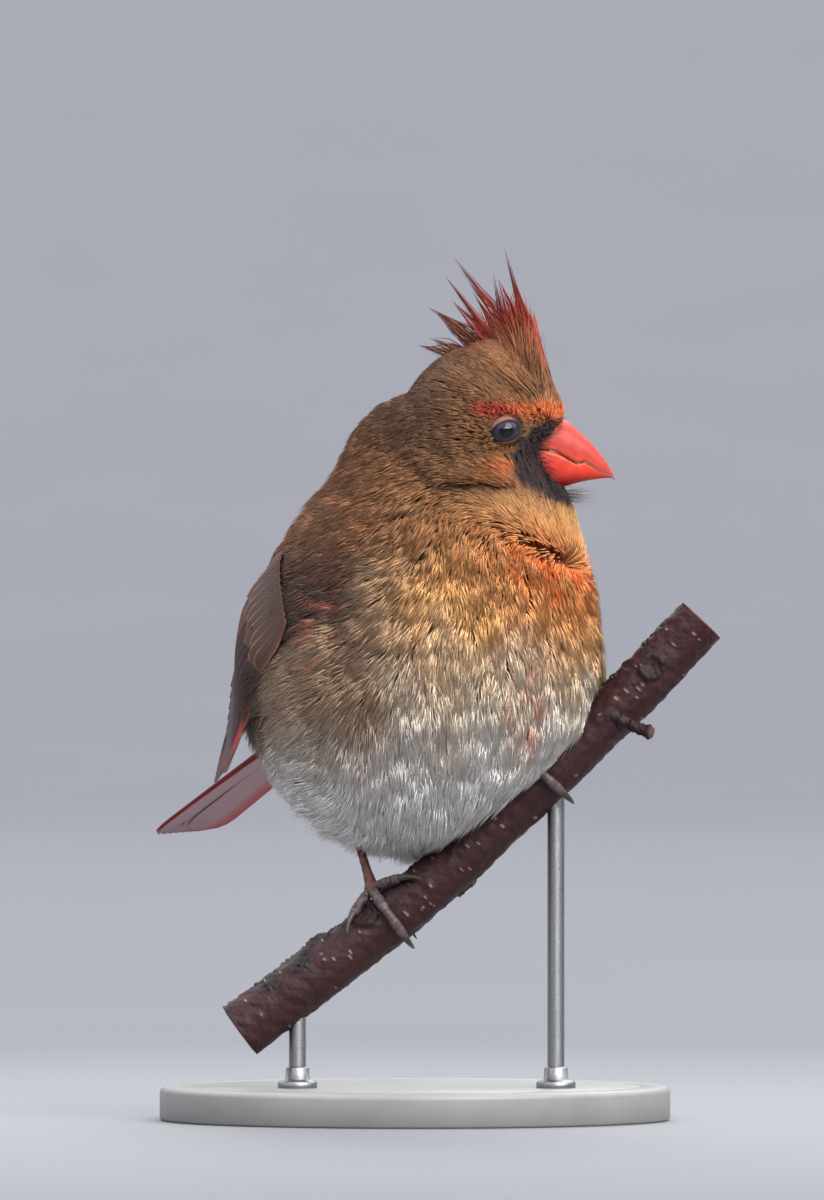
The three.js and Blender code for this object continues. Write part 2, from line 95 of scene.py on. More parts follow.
def spline(points: Array, t: Array) -> Array:
    """A centripetal Catmull-Rom curve through the points, at parameters t from 0 to 1."""
    points = np.asarray(points, float)
    first, last = 2 * points[0] - points[1], 2 * points[-1] - points[-2]
    padded = np.vstack([first, points, last])
    place = np.clip(np.asarray(t, float), 0, 1) * (len(points) - 1)
    i = np.minimum(place.astype(int), len(points) - 2)
    p0, p1, p2, p3 = (padded[i + k] for k in range(4))
    gaps = (p1 - p0, p2 - p1, p3 - p2)
    d0, d1, d2 = (np.maximum(np.linalg.norm(gap, axis=1) ** 0.5, 1e-4)[:, None] for gap in gaps)
    m1 = ((p1 - p0) / d0 - (p2 - p0) / (d0 + d1) + (p2 - p1) / d1) * d1
    m2 = ((p2 - p1) / d1 - (p3 - p1) / (d1 + d2) + (p3 - p2) / d2) * d1
    w = (place - i)[:, None]
    return p1 + m1 * w + (3 * (p2 - p1) - 2 * m1 - m2) * w**2 + (2 * (p1 - p2) + m1 + m2) * w**3


def srgb(*rgb: float) -> Array:
    """A colour given as 0 to 255 display values, as linear light."""
    c = np.array(rgb, float) / 255.0
    return np.where(c <= 0.04045, c / 12.92, ((c + 0.055) / 1.055) ** 2.4)


@dataclass(frozen=True)
class Ripple:
    """Smooth noise in space: a sum of sine waves whose directions and phases come from a seed."""

    wavelength: float
    seed: int
    waves: int = 14

    def __call__(self, p: Array) -> Array:
        """The noise at points p, about -1 to 1."""
        rng = np.random.default_rng(self.seed)
        k = unit(rng.normal(size=(self.waves, 3))) * rng.uniform(0.6, 1.6, (self.waves, 1))
        phase = rng.uniform(0, 2 * np.pi, self.waves)
        return np.sin(p @ (k.T * 2 * np.pi / self.wavelength) + phase).sum(-1) / math.sqrt(self.waves)


# The bird's measurements

HEAD_CENTRE = np.array([3.0, -23.0, 163.0])
HEAD_YAW = 51.0
HEAD_AXES = facing(HEAD_YAW)
BODY_BLEND = 3.2
LIFT_HEIGHT, LIFT_SLOPE, LIFT_BLEND = 59.5, 0.735, 2.5
CAMERA_YAW = -34.0
BRANCH_ALONG = np.array([math.cos(math.radians(CAMERA_YAW)), math.sin(math.radians(CAMERA_YAW)), 0.0])
BRANCH_BACK = np.array([-BRANCH_ALONG[1], BRANCH_ALONG[0], 0.0])
BRANCH_DEPTH = -15.0
BRANCH_LINE = ((-41, 21.5), (-27.5, 31.3), (-3.5, 49.4), (15.3, 66.0), (50.1, 99.8), (67, 117.5))
BRANCH_RADIUS = (6.8, 6.5, 6.15, 6.1, 6.1, 6.1)
EYE_FORWARD, EYE_UP, EYE_RADIUS, EYE_PROUD = 6.4, -1.5, 3.9, 1.3
BILL_ROOT = np.array([13.0, 0.0, -7.1])
BILL_HALF = (6.6, 7.8)
CREST_FOOT = np.array([17.0, 1.0])
GRIP_RADIUS = 6.15
MARKINGS_TURN = 12.0


def from_head(q: Array) -> Array:
    """Points given forward, left and up from the head's centre, in the model's frame."""
    return HEAD_CENTRE + np.asarray(q, float) @ HEAD_AXES


def to_head(p: Array) -> Array:
    """Points of the model's frame, as forward, left and up from the head's centre."""
    return (p - HEAD_CENTRE) @ HEAD_AXES.T


def branch_points() -> Array:
    """The branch's centre line, from its places across the picture plane and its heights."""
    across, height = np.array(BRANCH_LINE).T
    p = across[:, None] * BRANCH_ALONG + BRANCH_DEPTH * BRANCH_BACK
    p[:, 2] = height
    return p


@dataclass(frozen=True)
class Lobe:
    """One swelling of the body: a centre, its half sizes sideways, fore and aft and up, and its yaw."""

    centre: tuple
    half: tuple
    yaw: float = 0.0

    def distance(self, p: Array) -> Array:
        """Signed distance, close to true near the surface: k0 (k0 - 1) / k1 of an ellipsoid."""
        forward, left, up = facing(self.yaw)
        q = (p - np.array(self.centre)) @ np.array([left, forward, up]).T / np.array(self.half)
        k0 = np.linalg.norm(q, axis=-1)
        k1 = np.maximum(np.linalg.norm(q / np.array(self.half), axis=-1), 1e-9)
        return k0 * (k0 - 1) / k1


def head_lobe(forward: float, up: float, half: tuple) -> Lobe:
    """A swelling of the head, placed in the head's own frame."""
    return Lobe(tuple(from_head([forward, 0.0, up])), half, HEAD_YAW)


@dataclass
class BodyForm:
    """The outline at the feather tips: soft swellings, trimmed where the belly rests on the branch."""

    lobes: tuple = (
        Lobe((0, -3.5, 103), (41, 45, 42)),
        Lobe((0, -11, 124), (34.5, 36, 33)),
        Lobe((0, 14, 124), (25, 26, 27)),
        Lobe((0, -1, 148), (18.5, 19, 22.5)),
        Lobe((2, -18, 144), (20, 21, 17)),
        head_lobe(-1, 1, (13.5, 16.5, 16.5)),
        head_lobe(4.5, 10, (7, 8, 8.5)),
        head_lobe(10.5, 2.5, (6.5, 7.5, 6)),
        head_lobe(0, -7, (10, 8, 8)),
        head_lobe(8, -19, (8, 9, 5.5)),
    )

    def distance(self, p: Array) -> Array:
        """Signed distance to the outline.

        It is minus the blend times the log of the sum of e to the minus each swelling's distance, joined
        softly with the slanting plane above the branch.

        Args:
            p: points, in millimetres.

        Returns:
            Millimetres, positive outside.
        """
        total = sum(np.exp(-lobe.distance(p) / BODY_BLEND) for lobe in self.lobes)
        body = -BODY_BLEND * np.log(total + 1e-30)
        below = (LIFT_HEIGHT + LIFT_SLOPE * (p @ BRANCH_ALONG) - p[..., 2]) / math.hypot(1, LIFT_SLOPE)
        return LIFT_BLEND * np.logaddexp(body / LIFT_BLEND, below / LIFT_BLEND)

    def normal(self, p: Array) -> Array:
        """The outward direction, from differences of the distance."""
        step = 0.05
        rises = [self.distance(p + step * e) - self.distance(p - step * e) for e in np.eye(3)]
        return unit(np.stack(rises, -1))

    def settle(self, p: Array, level: Array) -> Array:
        """Points moved along the normal until their distance is the level given."""
        return p + self.normal(p) * (level - self.distance(p))[..., None]

    def axis(self, z: Array) -> Array:
        """The line inside the body that level slices are measured from."""
        rise = smooth(z, 112, 162)
        sink = 1 - smooth(z, 60, 95)
        x = mix(0.0, HEAD_CENTRE[0], rise) - 4 * sink
        y = mix(-2.0, HEAD_CENTRE[1], rise) + 5 * sink
        return np.stack([x, y, z], -1)

    def radius(self, z: Array, angle: Array, level: Array = 0.0) -> Array:
        """Level distance from the axis to the surface, found by halving.

        Args:
            z: heights.
            angle: turns round the axis, in radians from +X.
            level: how far outside the outline.

        Returns:
            Millimetres, one for each height.
        """
        axis = self.axis(z)
        out = np.stack([np.cos(angle), np.sin(angle), np.zeros_like(angle)], -1)
        low, high = np.zeros_like(z), np.full_like(z, 90.0)
        for _ in range(22):
            middle = (low + high) / 2
            inside = self.distance(axis + out * middle[..., None]) < level
            low, high = np.where(inside, middle, low), np.where(inside, high, middle)
        return (low + high) / 2

    def pole(self, inside: float, outside: float) -> float:
        """The height at which the axis leaves the body."""
        for _ in range(30):
            middle = (inside + outside) / 2
            if self.distance(self.axis(np.array([middle])))[0] < 0:
                inside = middle
            else:
                outside = middle
        return (inside + outside) / 2

    def slices(self, rows: int, columns: int) -> Array:
        """The outline as a grid: rows of level slices, closer near the poles, by columns round them."""
        foot, crown = self.pole(90, 40), self.pole(165, 215)
        z = mix(foot, crown, 0.5 - 0.5 * np.cos(np.pi * (np.arange(rows) + 0.5) / rows))
        angle = 2 * np.pi * np.arange(columns) / columns
        zz, aa = np.meshgrid(z, angle, indexing="ij")
        r = self.radius(zz, aa)
        return self.axis(zz) + np.stack([r * np.cos(aa), r * np.sin(aa), np.zeros_like(r)], -1)


BODY = BodyForm()


def headness(p: Array) -> Array:
    """0 on the body and 1 on the head, across the slanting line below the cheeks."""
    q = to_head(p)
    dip = math.radians(29)
    return smooth(q[..., 0] * math.sin(dip) + (q[..., 2] + 15.5) * math.cos(dip), -9, 5)


def eye_centre(side: float) -> Array:
    """An eyeball's centre in the head's frame: it stands a little proud of the feather tips there."""
    v = np.linspace(0, 20, 400)
    line = from_head(np.stack([np.full_like(v, EYE_FORWARD), side * v, np.full_like(v, EYE_UP)], -1))
    out = v[np.argmin(np.abs(BODY.distance(line)))]
    return np.array([EYE_FORWARD, side * (out + EYE_PROUD - EYE_RADIUS), EYE_UP])


EYES = {"right": eye_centre(-1), "left": eye_centre(1)}


def eye_offset(q: Array) -> tuple:
    """Where head points lie from the nearer eye: forward, up, and the distance in space."""
    near = np.where(q[..., 1:2] < 0, EYES["right"], EYES["left"])
    d = q - near
    return d[..., 0], d[..., 2], np.linalg.norm(d, axis=-1)


def bill_gap(q: Array) -> Array:
    """Distance of head points from the bill's root, in half sizes of the bill there."""
    wide, high = BILL_HALF
    behind = np.minimum(q[..., 0] - 11.0, 0)
    return np.sqrt((q[..., 1] / wide) ** 2 + ((q[..., 2] - BILL_ROOT[2]) / high) ** 2 + (behind / 4) ** 2)


def coat_depth(p: Array) -> Array:
    """How deep the skin lies below the feather tips."""
    q = to_head(p)
    deep = mix(5.2, 2.4, headness(p))
    deep = mix(0.7, deep, smooth(eye_offset(q)[2], 4.2, 9.0))
    return mix(0.8, deep, smooth(bill_gap(q), 1.0, 1.9))


# Colours


def tone(*rgb: float) -> Array:
    """A dataclass field that holds a display colour as linear light."""
    return field(default_factory=lambda: srgb(*rgb))


@dataclass(frozen=True)
class Palette:
    """The bird's plumage colours, as linear light."""

    back: Array = tone(90, 69, 57)
    tan: Array = tone(160, 108, 70)
    nape: Array = tone(122, 85, 59)
    crown: Array = tone(142, 98, 64)
    buff: Array = tone(246, 188, 120)
    wash: Array = tone(240, 116, 52)
    flank: Array = tone(164, 133, 106)
    cream: Array = tone(248, 226, 198)
    white: Array = tone(250, 246, 242)
    red: Array = tone(196, 50, 34)
    orange: Array = tone(230, 116, 60)
    mask: Array = tone(60, 46, 49)
    streak: Array = tone(246, 140, 108)


PALETTE = Palette()


def full_turn(count: int) -> Array:
    """Equal turns round a circle, as one row."""
    return np.linspace(0, 2 * np.pi, count, endpoint=False)[None, :]


def blend(base: Array, colour: Array, amount: Array) -> Array:
    """A colour laid over another by an amount from 0 to 1 at each point."""
    return base + (colour - base) * np.clip(amount, 0, 1)[..., None]


def turn_from_front(p: Array) -> Array:
    """How far round the body points lie from straight ahead, in degrees, positive to the bird's left."""
    return np.degrees(np.arctan2(p[..., 0], -p[..., 1]))


def plumage(p: Array) -> Array:
    """The markings: each part's colour laid over the last, by soft steps and humps in height and turn.

    Args:
        p: points of the outline, in millimetres.

    Returns:
        The colour of the feathers rooted there, as linear light.
    """
    q = to_head(p)
    forward, side, up = q[..., 0], np.abs(q[..., 1]), q[..., 2]
    z, turn = p[..., 2], turn_from_front(p) - MARKINGS_TURN
    broad, fine = Ripple(22, 3)(p), Ripple(5.5, 4)(p)
    round_ = np.abs(turn) + 5 * broad

    colour = np.broadcast_to(PALETTE.white, p.shape).copy()
    colour = blend(colour, PALETTE.cream, smooth(z + 3 * broad, 80, 104))
    colour = blend(colour, PALETTE.buff, smooth(z + 4 * broad, 98, 122) * (1 - 0.5 * smooth(round_, 40, 75)))
    flank = smooth(round_, 34, 66) * smooth(z + 3 * fine, 76, 96)
    colour = blend(colour, PALETTE.flank, 0.9 * flank)
    edge = mix(112.0, 62.0, smooth(z, 90, 130))
    colour = blend(colour, PALETTE.back, smooth(round_ - edge, -7, 10) * smooth(z, 80, 96))
    colour = blend(colour, PALETTE.tan, 0.85 * smooth(z + 2 * broad, 122, 142))
    wash = bell(turn, 6, 28) * bell(z, 131, 13) * (0.85 + 0.3 * fine)
    colour = blend(colour, PALETTE.wash, wash)
    streaks = bell(turn, -11, 7) * bell(z, 98, 12) * smooth(fine, -0.5, 0.9)
    colour = blend(colour, PALETTE.streak, 0.7 * streaks)
    sides = bell(np.abs(turn), 78, 9) * bell(z, 118, 12) * smooth(fine, -0.2, 0.8)
    colour = blend(colour, PALETTE.streak, 0.5 * sides)

    face = blend(np.broadcast_to(PALETTE.crown, p.shape).copy(), PALETTE.nape, smooth(-forward, -2, 13))
    face = blend(face, PALETTE.buff, 0.5 * smooth(-up, 13, 22) * smooth(forward, -14, 2))
    face = blend(face, PALETTE.wash, 0.45 * bell(forward, 7, 5) * bell(up, -11, 3.5) * (0.6 + 0.5 * fine))
    brow = smooth(forward, -3, 3) * bell(up - 0.05 * (12 - forward), 3.1, 1.6)
    face = blend(face, mix(PALETTE.red, PALETTE.orange, smooth(forward, 4, 14)[..., None]), 0.8 * brow)
    face = blend(face, PALETTE.orange, 0.6 * smooth(forward, 12, 16) * bell(up, 3.2, 1.7))
    crest = smooth(up, 9.5, 14.5) * (1 - smooth(side, 4.5, 8.5)) * smooth(forward, -6, 2)
    face = blend(face, PALETTE.red, 0.65 * crest * (0.85 + 0.3 * fine))
    mask_gap = np.linalg.norm((q - np.array([18.4, 0, -8.8])) / np.array([10.6, 26.0, 11.0]), axis=-1)
    mask = 1 - smooth(mask_gap + 0.06 * fine, 0.86, 1.08)
    mask = mask * (1 - smooth(up - 0.25 * (forward - 16), -0.4, 1.2))
    face = blend(face, PALETTE.mask, mask)
    return mix(colour, face, headness(p)[..., None])


def fold(p: Array) -> Array:
    """How far points lie above the crease where the cheek's feathers end over the neck's, in millimetres."""
    q = to_head(p)
    line = np.interp(q[..., 0], [-14, -10.4, -4.9, 5.7, 12], [-5.0, -8.6, -13.1, -14.4, -17.0])
    side = smooth(np.abs(q[..., 1]), 3, 7) * smooth(q[..., 0], -15, -11) * (1 - smooth(q[..., 0], 7, 12))
    return np.where(side > 0.02, (q[..., 2] - line) / np.maximum(side, 0.02) ** 0.5, 99.0)


def contrast(p: Array) -> Array:
    """How much neighbouring strands differ in tone: most on the flanks and back, least on the belly."""
    body = mix(0.30, 0.62, smooth(np.abs(turn_from_front(p)), 24, 60))
    body = body * mix(0.35, 1.0, smooth(p[..., 2], 80, 104))
    return mix(body, 0.62, headness(p))


# Meshes


@dataclass
class Patch:
    """Part of a mesh: its points and faces, values at each point and a place in the bake's map.

    Attributes:
        points: n by 3, in millimetres.
        faces: m by 4 indices, where a triangle's last corner repeats.
        values: named arrays, n long for numbers or n by 3 for colours.
        uv: n by 2.
    """

    points: Array
    faces: Array
    values: dict
    uv: Array


def tube(rings: Array, values: dict, uv: Array | None = None) -> Patch:
    """A closed surface through rings of points, with each end closed by its own middle point.

    Args:
        rings: rows by columns by 3; neighbouring rows and columns are joined, and columns wrap round.
        values: named arrays whose first two sides are rows and columns.
        uv: rows by columns by 2, or nothing to lay the surface flat by row and column.

    Returns:
        The patch, with its faces pointing out.
    """
    rows, columns = rings.shape[:2]
    if uv is None:
        uu, vv = np.meshgrid(np.linspace(0.01, 0.99, columns), np.linspace(0.01, 0.99, rows))
        uv = np.stack([uu, vv], -1)
    i, k = np.meshgrid(np.arange(rows - 1), np.arange(columns), indexing="ij")
    k2 = (k + 1) % columns
    row, above = i * columns, (i + 1) * columns
    quads = np.stack([row + k, row + k2, above + k2, above + k], -1).reshape(-1, 4)
    first, last, top = rows * columns, rows * columns + 1, (rows - 1) * columns
    k = np.arange(columns)
    k2 = (k + 1) % columns
    low = np.stack([np.full(columns, first), k2, k, k], -1)
    high = np.stack([np.full(columns, last), top + k, top + k2, top + k2], -1)
    faces = np.vstack([quads, low, high])

    def ends(a: Array) -> Array:
        """Values of the grid, then the mean of its first ring and of its last."""
        flat = a.reshape((rows * columns,) + a.shape[2:])
        return np.concatenate([flat, a[0].mean(0)[None], a[-1].mean(0)[None]])

    points = ends(rings)
    return Patch(points, outward(points, faces), {n: ends(v) for n, v in values.items()}, ends(uv))


def outward(points: Array, faces: Array) -> Array:
    """The faces, turned round if together they enclose a negative volume."""
    a, b, c, d = (points[faces[:, k]] - points[0] for k in range(4))
    volume = (a * np.cross(b, c)).sum() + (a * np.cross(c, d)).sum()
    return faces if volume >= 0 else faces[:, [1, 0, 3, 2]]


def merge(patches: list) -> Patch:
    """Several patches as one."""
    points, faces, uvs, values, start = [], [], [], {}, 0
    for patch in patches:
        points.append(patch.points)
        faces.append(patch.faces + start)
        uvs.append(patch.uv)
        for name, v in patch.values.items():
            values.setdefault(name, []).append(v)
        start += len(patch.points)
    joined = {name: np.concatenate(v) for name, v in values.items()}
    return Patch(np.vstack(points), np.vstack(faces), joined, np.vstack(uvs))


def build(name: str, patch: Patch, material: Material, nodes: tuple = ()) -> bpy.types.Object:
    """Makes a piece from a patch, rides it on the model and hides the CAD nodes that it replaces.

    Args:
        name: the piece's name.
        patch: its shape in millimetres.
        material: its finish.
        nodes: the CAD nodes that it replaces.

    Returns:
        The new object.
    """
    faces = patch.faces
    short = (faces[:, 3] == faces[:, 2]) | (faces[:, 3] == faces[:, 0])
    size = np.where(short, 3, 4)
    keep = np.ones(faces.shape, bool)
    keep[short, 3] = False
    corners = faces[keep]
    starts = np.concatenate([[0], np.cumsum(size)[:-1]])
    mesh = bpy.data.meshes.new(name)
    mesh.vertices.add(len(patch.points))
    mesh.vertices.foreach_set("co", (patch.points * MM).astype(np.float32).ravel())
    mesh.loops.add(len(corners))
    mesh.loops.foreach_set("vertex_index", corners.astype(np.int32))
    mesh.polygons.add(len(faces))
    mesh.polygons.foreach_set("loop_start", starts.astype(np.int32))
    mesh.update(calc_edges=True)
    mesh.polygons.foreach_set("use_smooth", np.ones(len(faces), bool))
    for key, v in patch.values.items():
        if v.ndim == 2:
            rgba = np.column_stack([np.clip(v, 0, None), np.ones(len(v))]).astype(np.float32)
            mesh.attributes.new(key, "FLOAT_COLOR", "POINT").data.foreach_set("color", rgba.ravel())
        else:
            mesh.attributes.new(key, "FLOAT", "POINT").data.foreach_set("value", v.astype(np.float32))
    layer = mesh.uv_layers.new(name="OFBake")
    uv = patch.uv[corners].copy()
    spread = np.maximum.reduceat(uv[:, 0], starts) - np.minimum.reduceat(uv[:, 0], starts)
    wide = np.repeat(spread > 0.5, size)
    uv[wide & (uv[:, 0] < 0.5), 0] = 0.99
    layer.data.foreach_set("uv", np.clip(uv, 0, 1).astype(np.float32).ravel())
    piece = bpy.data.objects.new(name, mesh)
    bpy.context.scene.collection.objects.link(piece)
    mesh.materials.append(material)
    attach(piece, "root")
    if nodes:
        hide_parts(*nodes)
    log.info("%s: %d faces", name, len(faces))
    return piece


# Finishes


class Nodes:
    """A short way to write a material's node tree."""

    def __init__(self, name: str) -> None:
        """Starts an empty tree with a shader and an output."""
        self.material = bpy.data.materials.new(name)
        self.material.use_nodes = True
        self.tree = self.material.node_tree
        self.shader = self.tree.nodes["Principled BSDF"]

    def add(self, kind: str, **settings: object) -> bpy.types.Node:
        """Adds a node; a setting in lower case is the node's own, and others are given by feed."""
        node = self.tree.nodes.new(kind)
        for key, value in settings.items():
            setattr(node, key, value)
        return node

    def feed(self, node: bpy.types.Node, socket: object, value: object) -> None:
        """Sets an input, or links an output to it."""
        if isinstance(value, Socket):
            self.tree.links.new(value, node.inputs[socket])
        else:
            node.inputs[socket].default_value = value

    def value(self, name: str) -> Socket:
        """A number stored at each point."""
        return self.add("ShaderNodeAttribute", attribute_name=name).outputs["Fac"]

    def colour(self, name: str) -> Socket:
        """A colour stored at each point."""
        return self.add("ShaderNodeAttribute", attribute_name=name).outputs["Color"]

    def place(self) -> Socket:
        """The piece's own coordinates."""
        return self.add("ShaderNodeTexCoord").outputs["Object"]

    def noise(self, per_metre: float, detail: float = 3.0, rough: float = 0.55) -> Socket:
        """Cloudy noise in space."""
        node = self.add("ShaderNodeTexNoise")
        self.feed(node, "Vector", self.place())
        self.feed(node, "Scale", per_metre)
        self.feed(node, "Detail", detail)
        self.feed(node, "Roughness", rough)
        return node.outputs["Fac"]

    def grey(self, value: Socket) -> Socket:
        """A number as a colour."""
        node = self.add("ShaderNodeCombineColor")
        for i in range(3):
            self.feed(node, i, value)
        return node.outputs[0]

    def maths(self, operation: str, a: object, b: object = 0.0, c: object = 0.0) -> Socket:
        """One sum."""
        node = self.add("ShaderNodeMath", operation=operation)
        for i, v in enumerate((a, b, c)):
            self.feed(node, i, v)
        return node.outputs[0]

    def span(self, x: object, low: float, high: float, to_low: float = 0.0, to_high: float = 1.0) -> Socket:
        """A number carried from one range to another, and held at its ends."""
        node = self.add("ShaderNodeMapRange")
        for i, v in enumerate((x, low, high, to_low, to_high)):
            self.feed(node, i, v)
        return node.outputs[0]

    def blend(self, a: object, b: object, amount: object, how: str = "MIX") -> Socket:
        """Two colours mixed."""
        node = self.add("ShaderNodeMix", data_type="RGBA", blend_type=how)
        self.feed(node, 0, amount)
        for i, v in ((6, a), (7, b)):
            self.feed(node, i, v if isinstance(v, Socket) else (*v, 1.0))
        return node.outputs[2]

    def paint(self, colour: Socket) -> None:
        """The shader's colour."""
        self.feed(self.shader, "Base Color", colour)

    def bump(self, height: object, distance: float, strength: float = 1.0) -> None:
        """Relief in the shader's normal, with the distance in millimetres."""
        node = self.add("ShaderNodeBump")
        self.feed(node, "Height", height)
        self.feed(node, "Distance", distance * MM)
        self.feed(node, "Strength", strength)
        self.feed(self.shader, "Normal", node.outputs[0])

    def gloss(self, rough: object, **constants: float) -> None:
        """The shader's roughness, and constant values on its other sockets."""
        self.feed(self.shader, "Roughness", rough)
        for key, v in constants.items():
            self.feed(self.shader, key.replace("_", " "), v)


@dataclass(frozen=True)
class Down:
    """Soft body feathers: the markings, lighter and darker tuft by tuft, shaded at the root."""

    name: str = "down"
    root_shade: float = 0.70
    spread: float = 0.10

    def make(self) -> Material:
        """Makes it."""
        n = Nodes(self.name)
        base = n.colour("plumage")
        each = n.span(n.value("pick"), 0.0, 1.0, 1 - self.spread / 2, 1 + self.spread / 2)
        along = n.span(n.value("along"), 0.0, 0.75, self.root_shade, 1.0)
        shade = n.maths("MULTIPLY", each, along)
        cloud = n.span(n.noise(160.0), 0.3, 0.7, 0.9, 1.1)
        grey = n.grey(n.maths("MULTIPLY", shade, cloud))
        n.paint(n.blend(base, grey, 1.0, "MULTIPLY"))
        n.gloss(n.span(n.noise(900.0), 0.3, 0.7, 0.62, 0.85), Sheen_Weight=0.04, Specular_IOR_Level=0.25)
        n.bump(n.noise(2600.0), 0.03)
        return n.material


@dataclass(frozen=True)
class Vane:
    """Firm feathers: their own colours, with fine barbs running out from the shaft."""

    name: str = "vane"

    def make(self) -> Material:
        """Makes it."""
        n = Nodes(self.name)
        across = n.maths("ABSOLUTE", n.value("across_mm"))
        run = n.maths("ADD", n.value("along_mm"), n.maths("MULTIPLY", across, -1.4))
        wave = n.maths("SINE", n.maths("MULTIPLY", run, 11.0))
        barb = n.span(n.maths("ADD", wave, n.span(n.noise(900.0), 0.3, 0.7, -0.6, 0.6)), -1.4, 1.4, 0.82, 1.1)
        n.paint(n.blend(n.colour("plumage"), n.grey(barb), 1.0, "MULTIPLY"))
        n.gloss(n.span(barb, 0.8, 1.1, 0.5, 0.62), Specular_IOR_Level=0.25)
        n.bump(wave, 0.05, 0.6)
        return n.material


@dataclass(frozen=True)
class Horn:
    """Bill and claws: stored colours, cloudy, with fine growth lines."""

    name: str
    rough: float
    lines: float = 500.0

    def make(self) -> Material:
        """Makes it."""
        n = Nodes(self.name)
        cloud = n.span(n.noise(380.0, 4.0), 0.3, 0.7, 0.0, 1.0)
        base = n.colour("plumage")
        darker = n.blend(base, (0.72, 0.62, 0.62), 1.0, "MULTIPLY")
        n.paint(n.blend(base, darker, cloud))
        rough = n.span(cloud, 0.0, 1.0, self.rough, self.rough + 0.14)
        n.gloss(rough, Subsurface_Weight=0.08, Subsurface_Scale=0.001)
        n.bump(n.noise(self.lines, 5.0, 0.7), 0.06, 0.5)
        return n.material


@dataclass(frozen=True)
class WetEye:
    """The eyeball: a black pupil in a dark iris, under a clear wet coat."""

    name: str = "wet_eye"

    def make(self) -> Material:
        """Makes it."""
        n = Nodes(self.name)
        ring = n.value("ring")
        fleck = n.span(n.noise(1600.0, 4.0), 0.3, 0.7, 0.5, 1.3)
        iris = n.blend((0.012, 0.009, 0.017), (0.030, 0.023, 0.046), fleck)
        ball = n.blend((0.003, 0.003, 0.004), iris, n.span(ring, 0.36, 0.52))
        n.paint(n.blend(ball, (0.004, 0.003, 0.004), n.span(ring, 0.76, 0.88)))
        n.gloss(0.35, Specular_IOR_Level=0.0, Coat_Weight=0.8, Coat_Roughness=0.03)
        n.bump(n.noise(900.0), 0.01, 0.3)
        return n.material


@dataclass(frozen=True)
class Scales:
    """Legs and toes: reddish grey plates with darker joints."""

    name: str = "leg_scales"

    def make(self) -> Material:
        """Makes it."""
        n = Nodes(self.name)
        base = n.colour("plumage")
        cloud = n.span(n.noise(900.0, 4.0), 0.35, 0.65)
        tone = n.blend(base, n.blend(base, (0.55, 0.5, 0.5), 1.0, "MULTIPLY"), cloud)
        joint = n.span(n.value("plate"), 0.0, 0.35)
        n.paint(n.blend((0.02, 0.012, 0.012), tone, joint))
        n.gloss(n.span(cloud, 0.0, 1.0, 0.42, 0.6))
        n.bump(n.noise(2200.0, 4.0), 0.05)
        return n.material


@dataclass(frozen=True)
class Bark:
    """Dark maroon bark: bloom and rust in patches, pale pores, a dark crust and pale cut wood."""

    name: str = "bark"

    def make(self) -> Material:
        """Makes it."""
        n = Nodes(self.name)
        big, small = n.noise(110.0, 5.0, 0.65), n.noise(750.0, 5.0, 0.7)
        base = n.blend((0.018, 0.005, 0.006), (0.044, 0.010, 0.012), n.span(small, 0.35, 0.68))
        bloom = n.maths("MULTIPLY", n.span(big, 0.50, 0.66), n.span(small, 0.38, 0.62))
        base = n.blend(base, (0.055, 0.027, 0.033), n.maths("MULTIPLY", bloom, 0.55))
        rust = n.maths("MULTIPLY", n.span(n.noise(240.0, 5.0, 0.7), 0.60, 0.70), n.value("lower"))
        base = n.blend(base, (0.09, 0.033, 0.016), n.maths("MULTIPLY", rust, 0.7))
        base = n.blend(base, (0.009, 0.005, 0.006), n.maths("MULTIPLY", n.value("crust"), 0.9))
        base = n.blend(base, (0.26, 0.17, 0.115), n.value("pore"))
        n.paint(n.blend(base, (0.17, 0.095, 0.05), n.value("cut")))
        n.gloss(n.span(big, 0.4, 0.65, 0.45, 0.7), Specular_IOR_Level=0.3)
        n.bump(n.maths("ADD", n.maths("MULTIPLY", small, 0.6), big), 0.25, 0.7)
        return n.material


@dataclass(frozen=True)
class Painted:
    """A satin painted board, with faint unevenness."""

    name: str
    colour: tuple

    def make(self) -> Material:
        """Makes it."""
        n = Nodes(self.name)
        cloud = n.noise(60.0, 4.0)
        darker = tuple(0.86 * c for c in self.colour)
        n.paint(n.blend(self.colour, darker, n.span(cloud, 0.35, 0.7)))
        n.gloss(n.span(n.noise(400.0), 0.3, 0.7, 0.38, 0.5))
        n.bump(n.noise(1500.0, 4.0), 0.02)
        return n.material


@dataclass(frozen=True)
class Brushed:
    """Brushed steel: fine scratches round the rod."""

    name: str = "brushed_steel"

    def make(self) -> Material:
        """Makes it."""
        n = Nodes(self.name)
        ridges = n.maths("SINE", n.maths("MULTIPLY", n.value("along_mm"), 60.0))
        streak = n.maths("ADD", ridges, n.span(n.noise(2000.0), 0.3, 0.7, -2.0, 2.0))
        steel = n.blend((0.24, 0.245, 0.255), (0.36, 0.365, 0.38), n.span(streak, -3.0, 3.0))
        n.paint(steel)
        n.gloss(n.span(streak, -3.0, 3.0, 0.26, 0.42), Metallic=1.0)
        n.bump(streak, 0.004)
        return n.material


# Locks of feather: the small pieces of the coat


@dataclass(frozen=True)
class LockShape:
    """How a lock narrows: its places along and its breadth there, as fractions."""

    places: tuple = (0.0, 0.42, 0.78)
    breadths: tuple = (0.6, 1.0, 0.62)
    ridge: float = 0.34


STRAND = LockShape((0.0, 0.5), (0.7, 1.0), 0.3)
TUFT_ON_MAP = 0.003


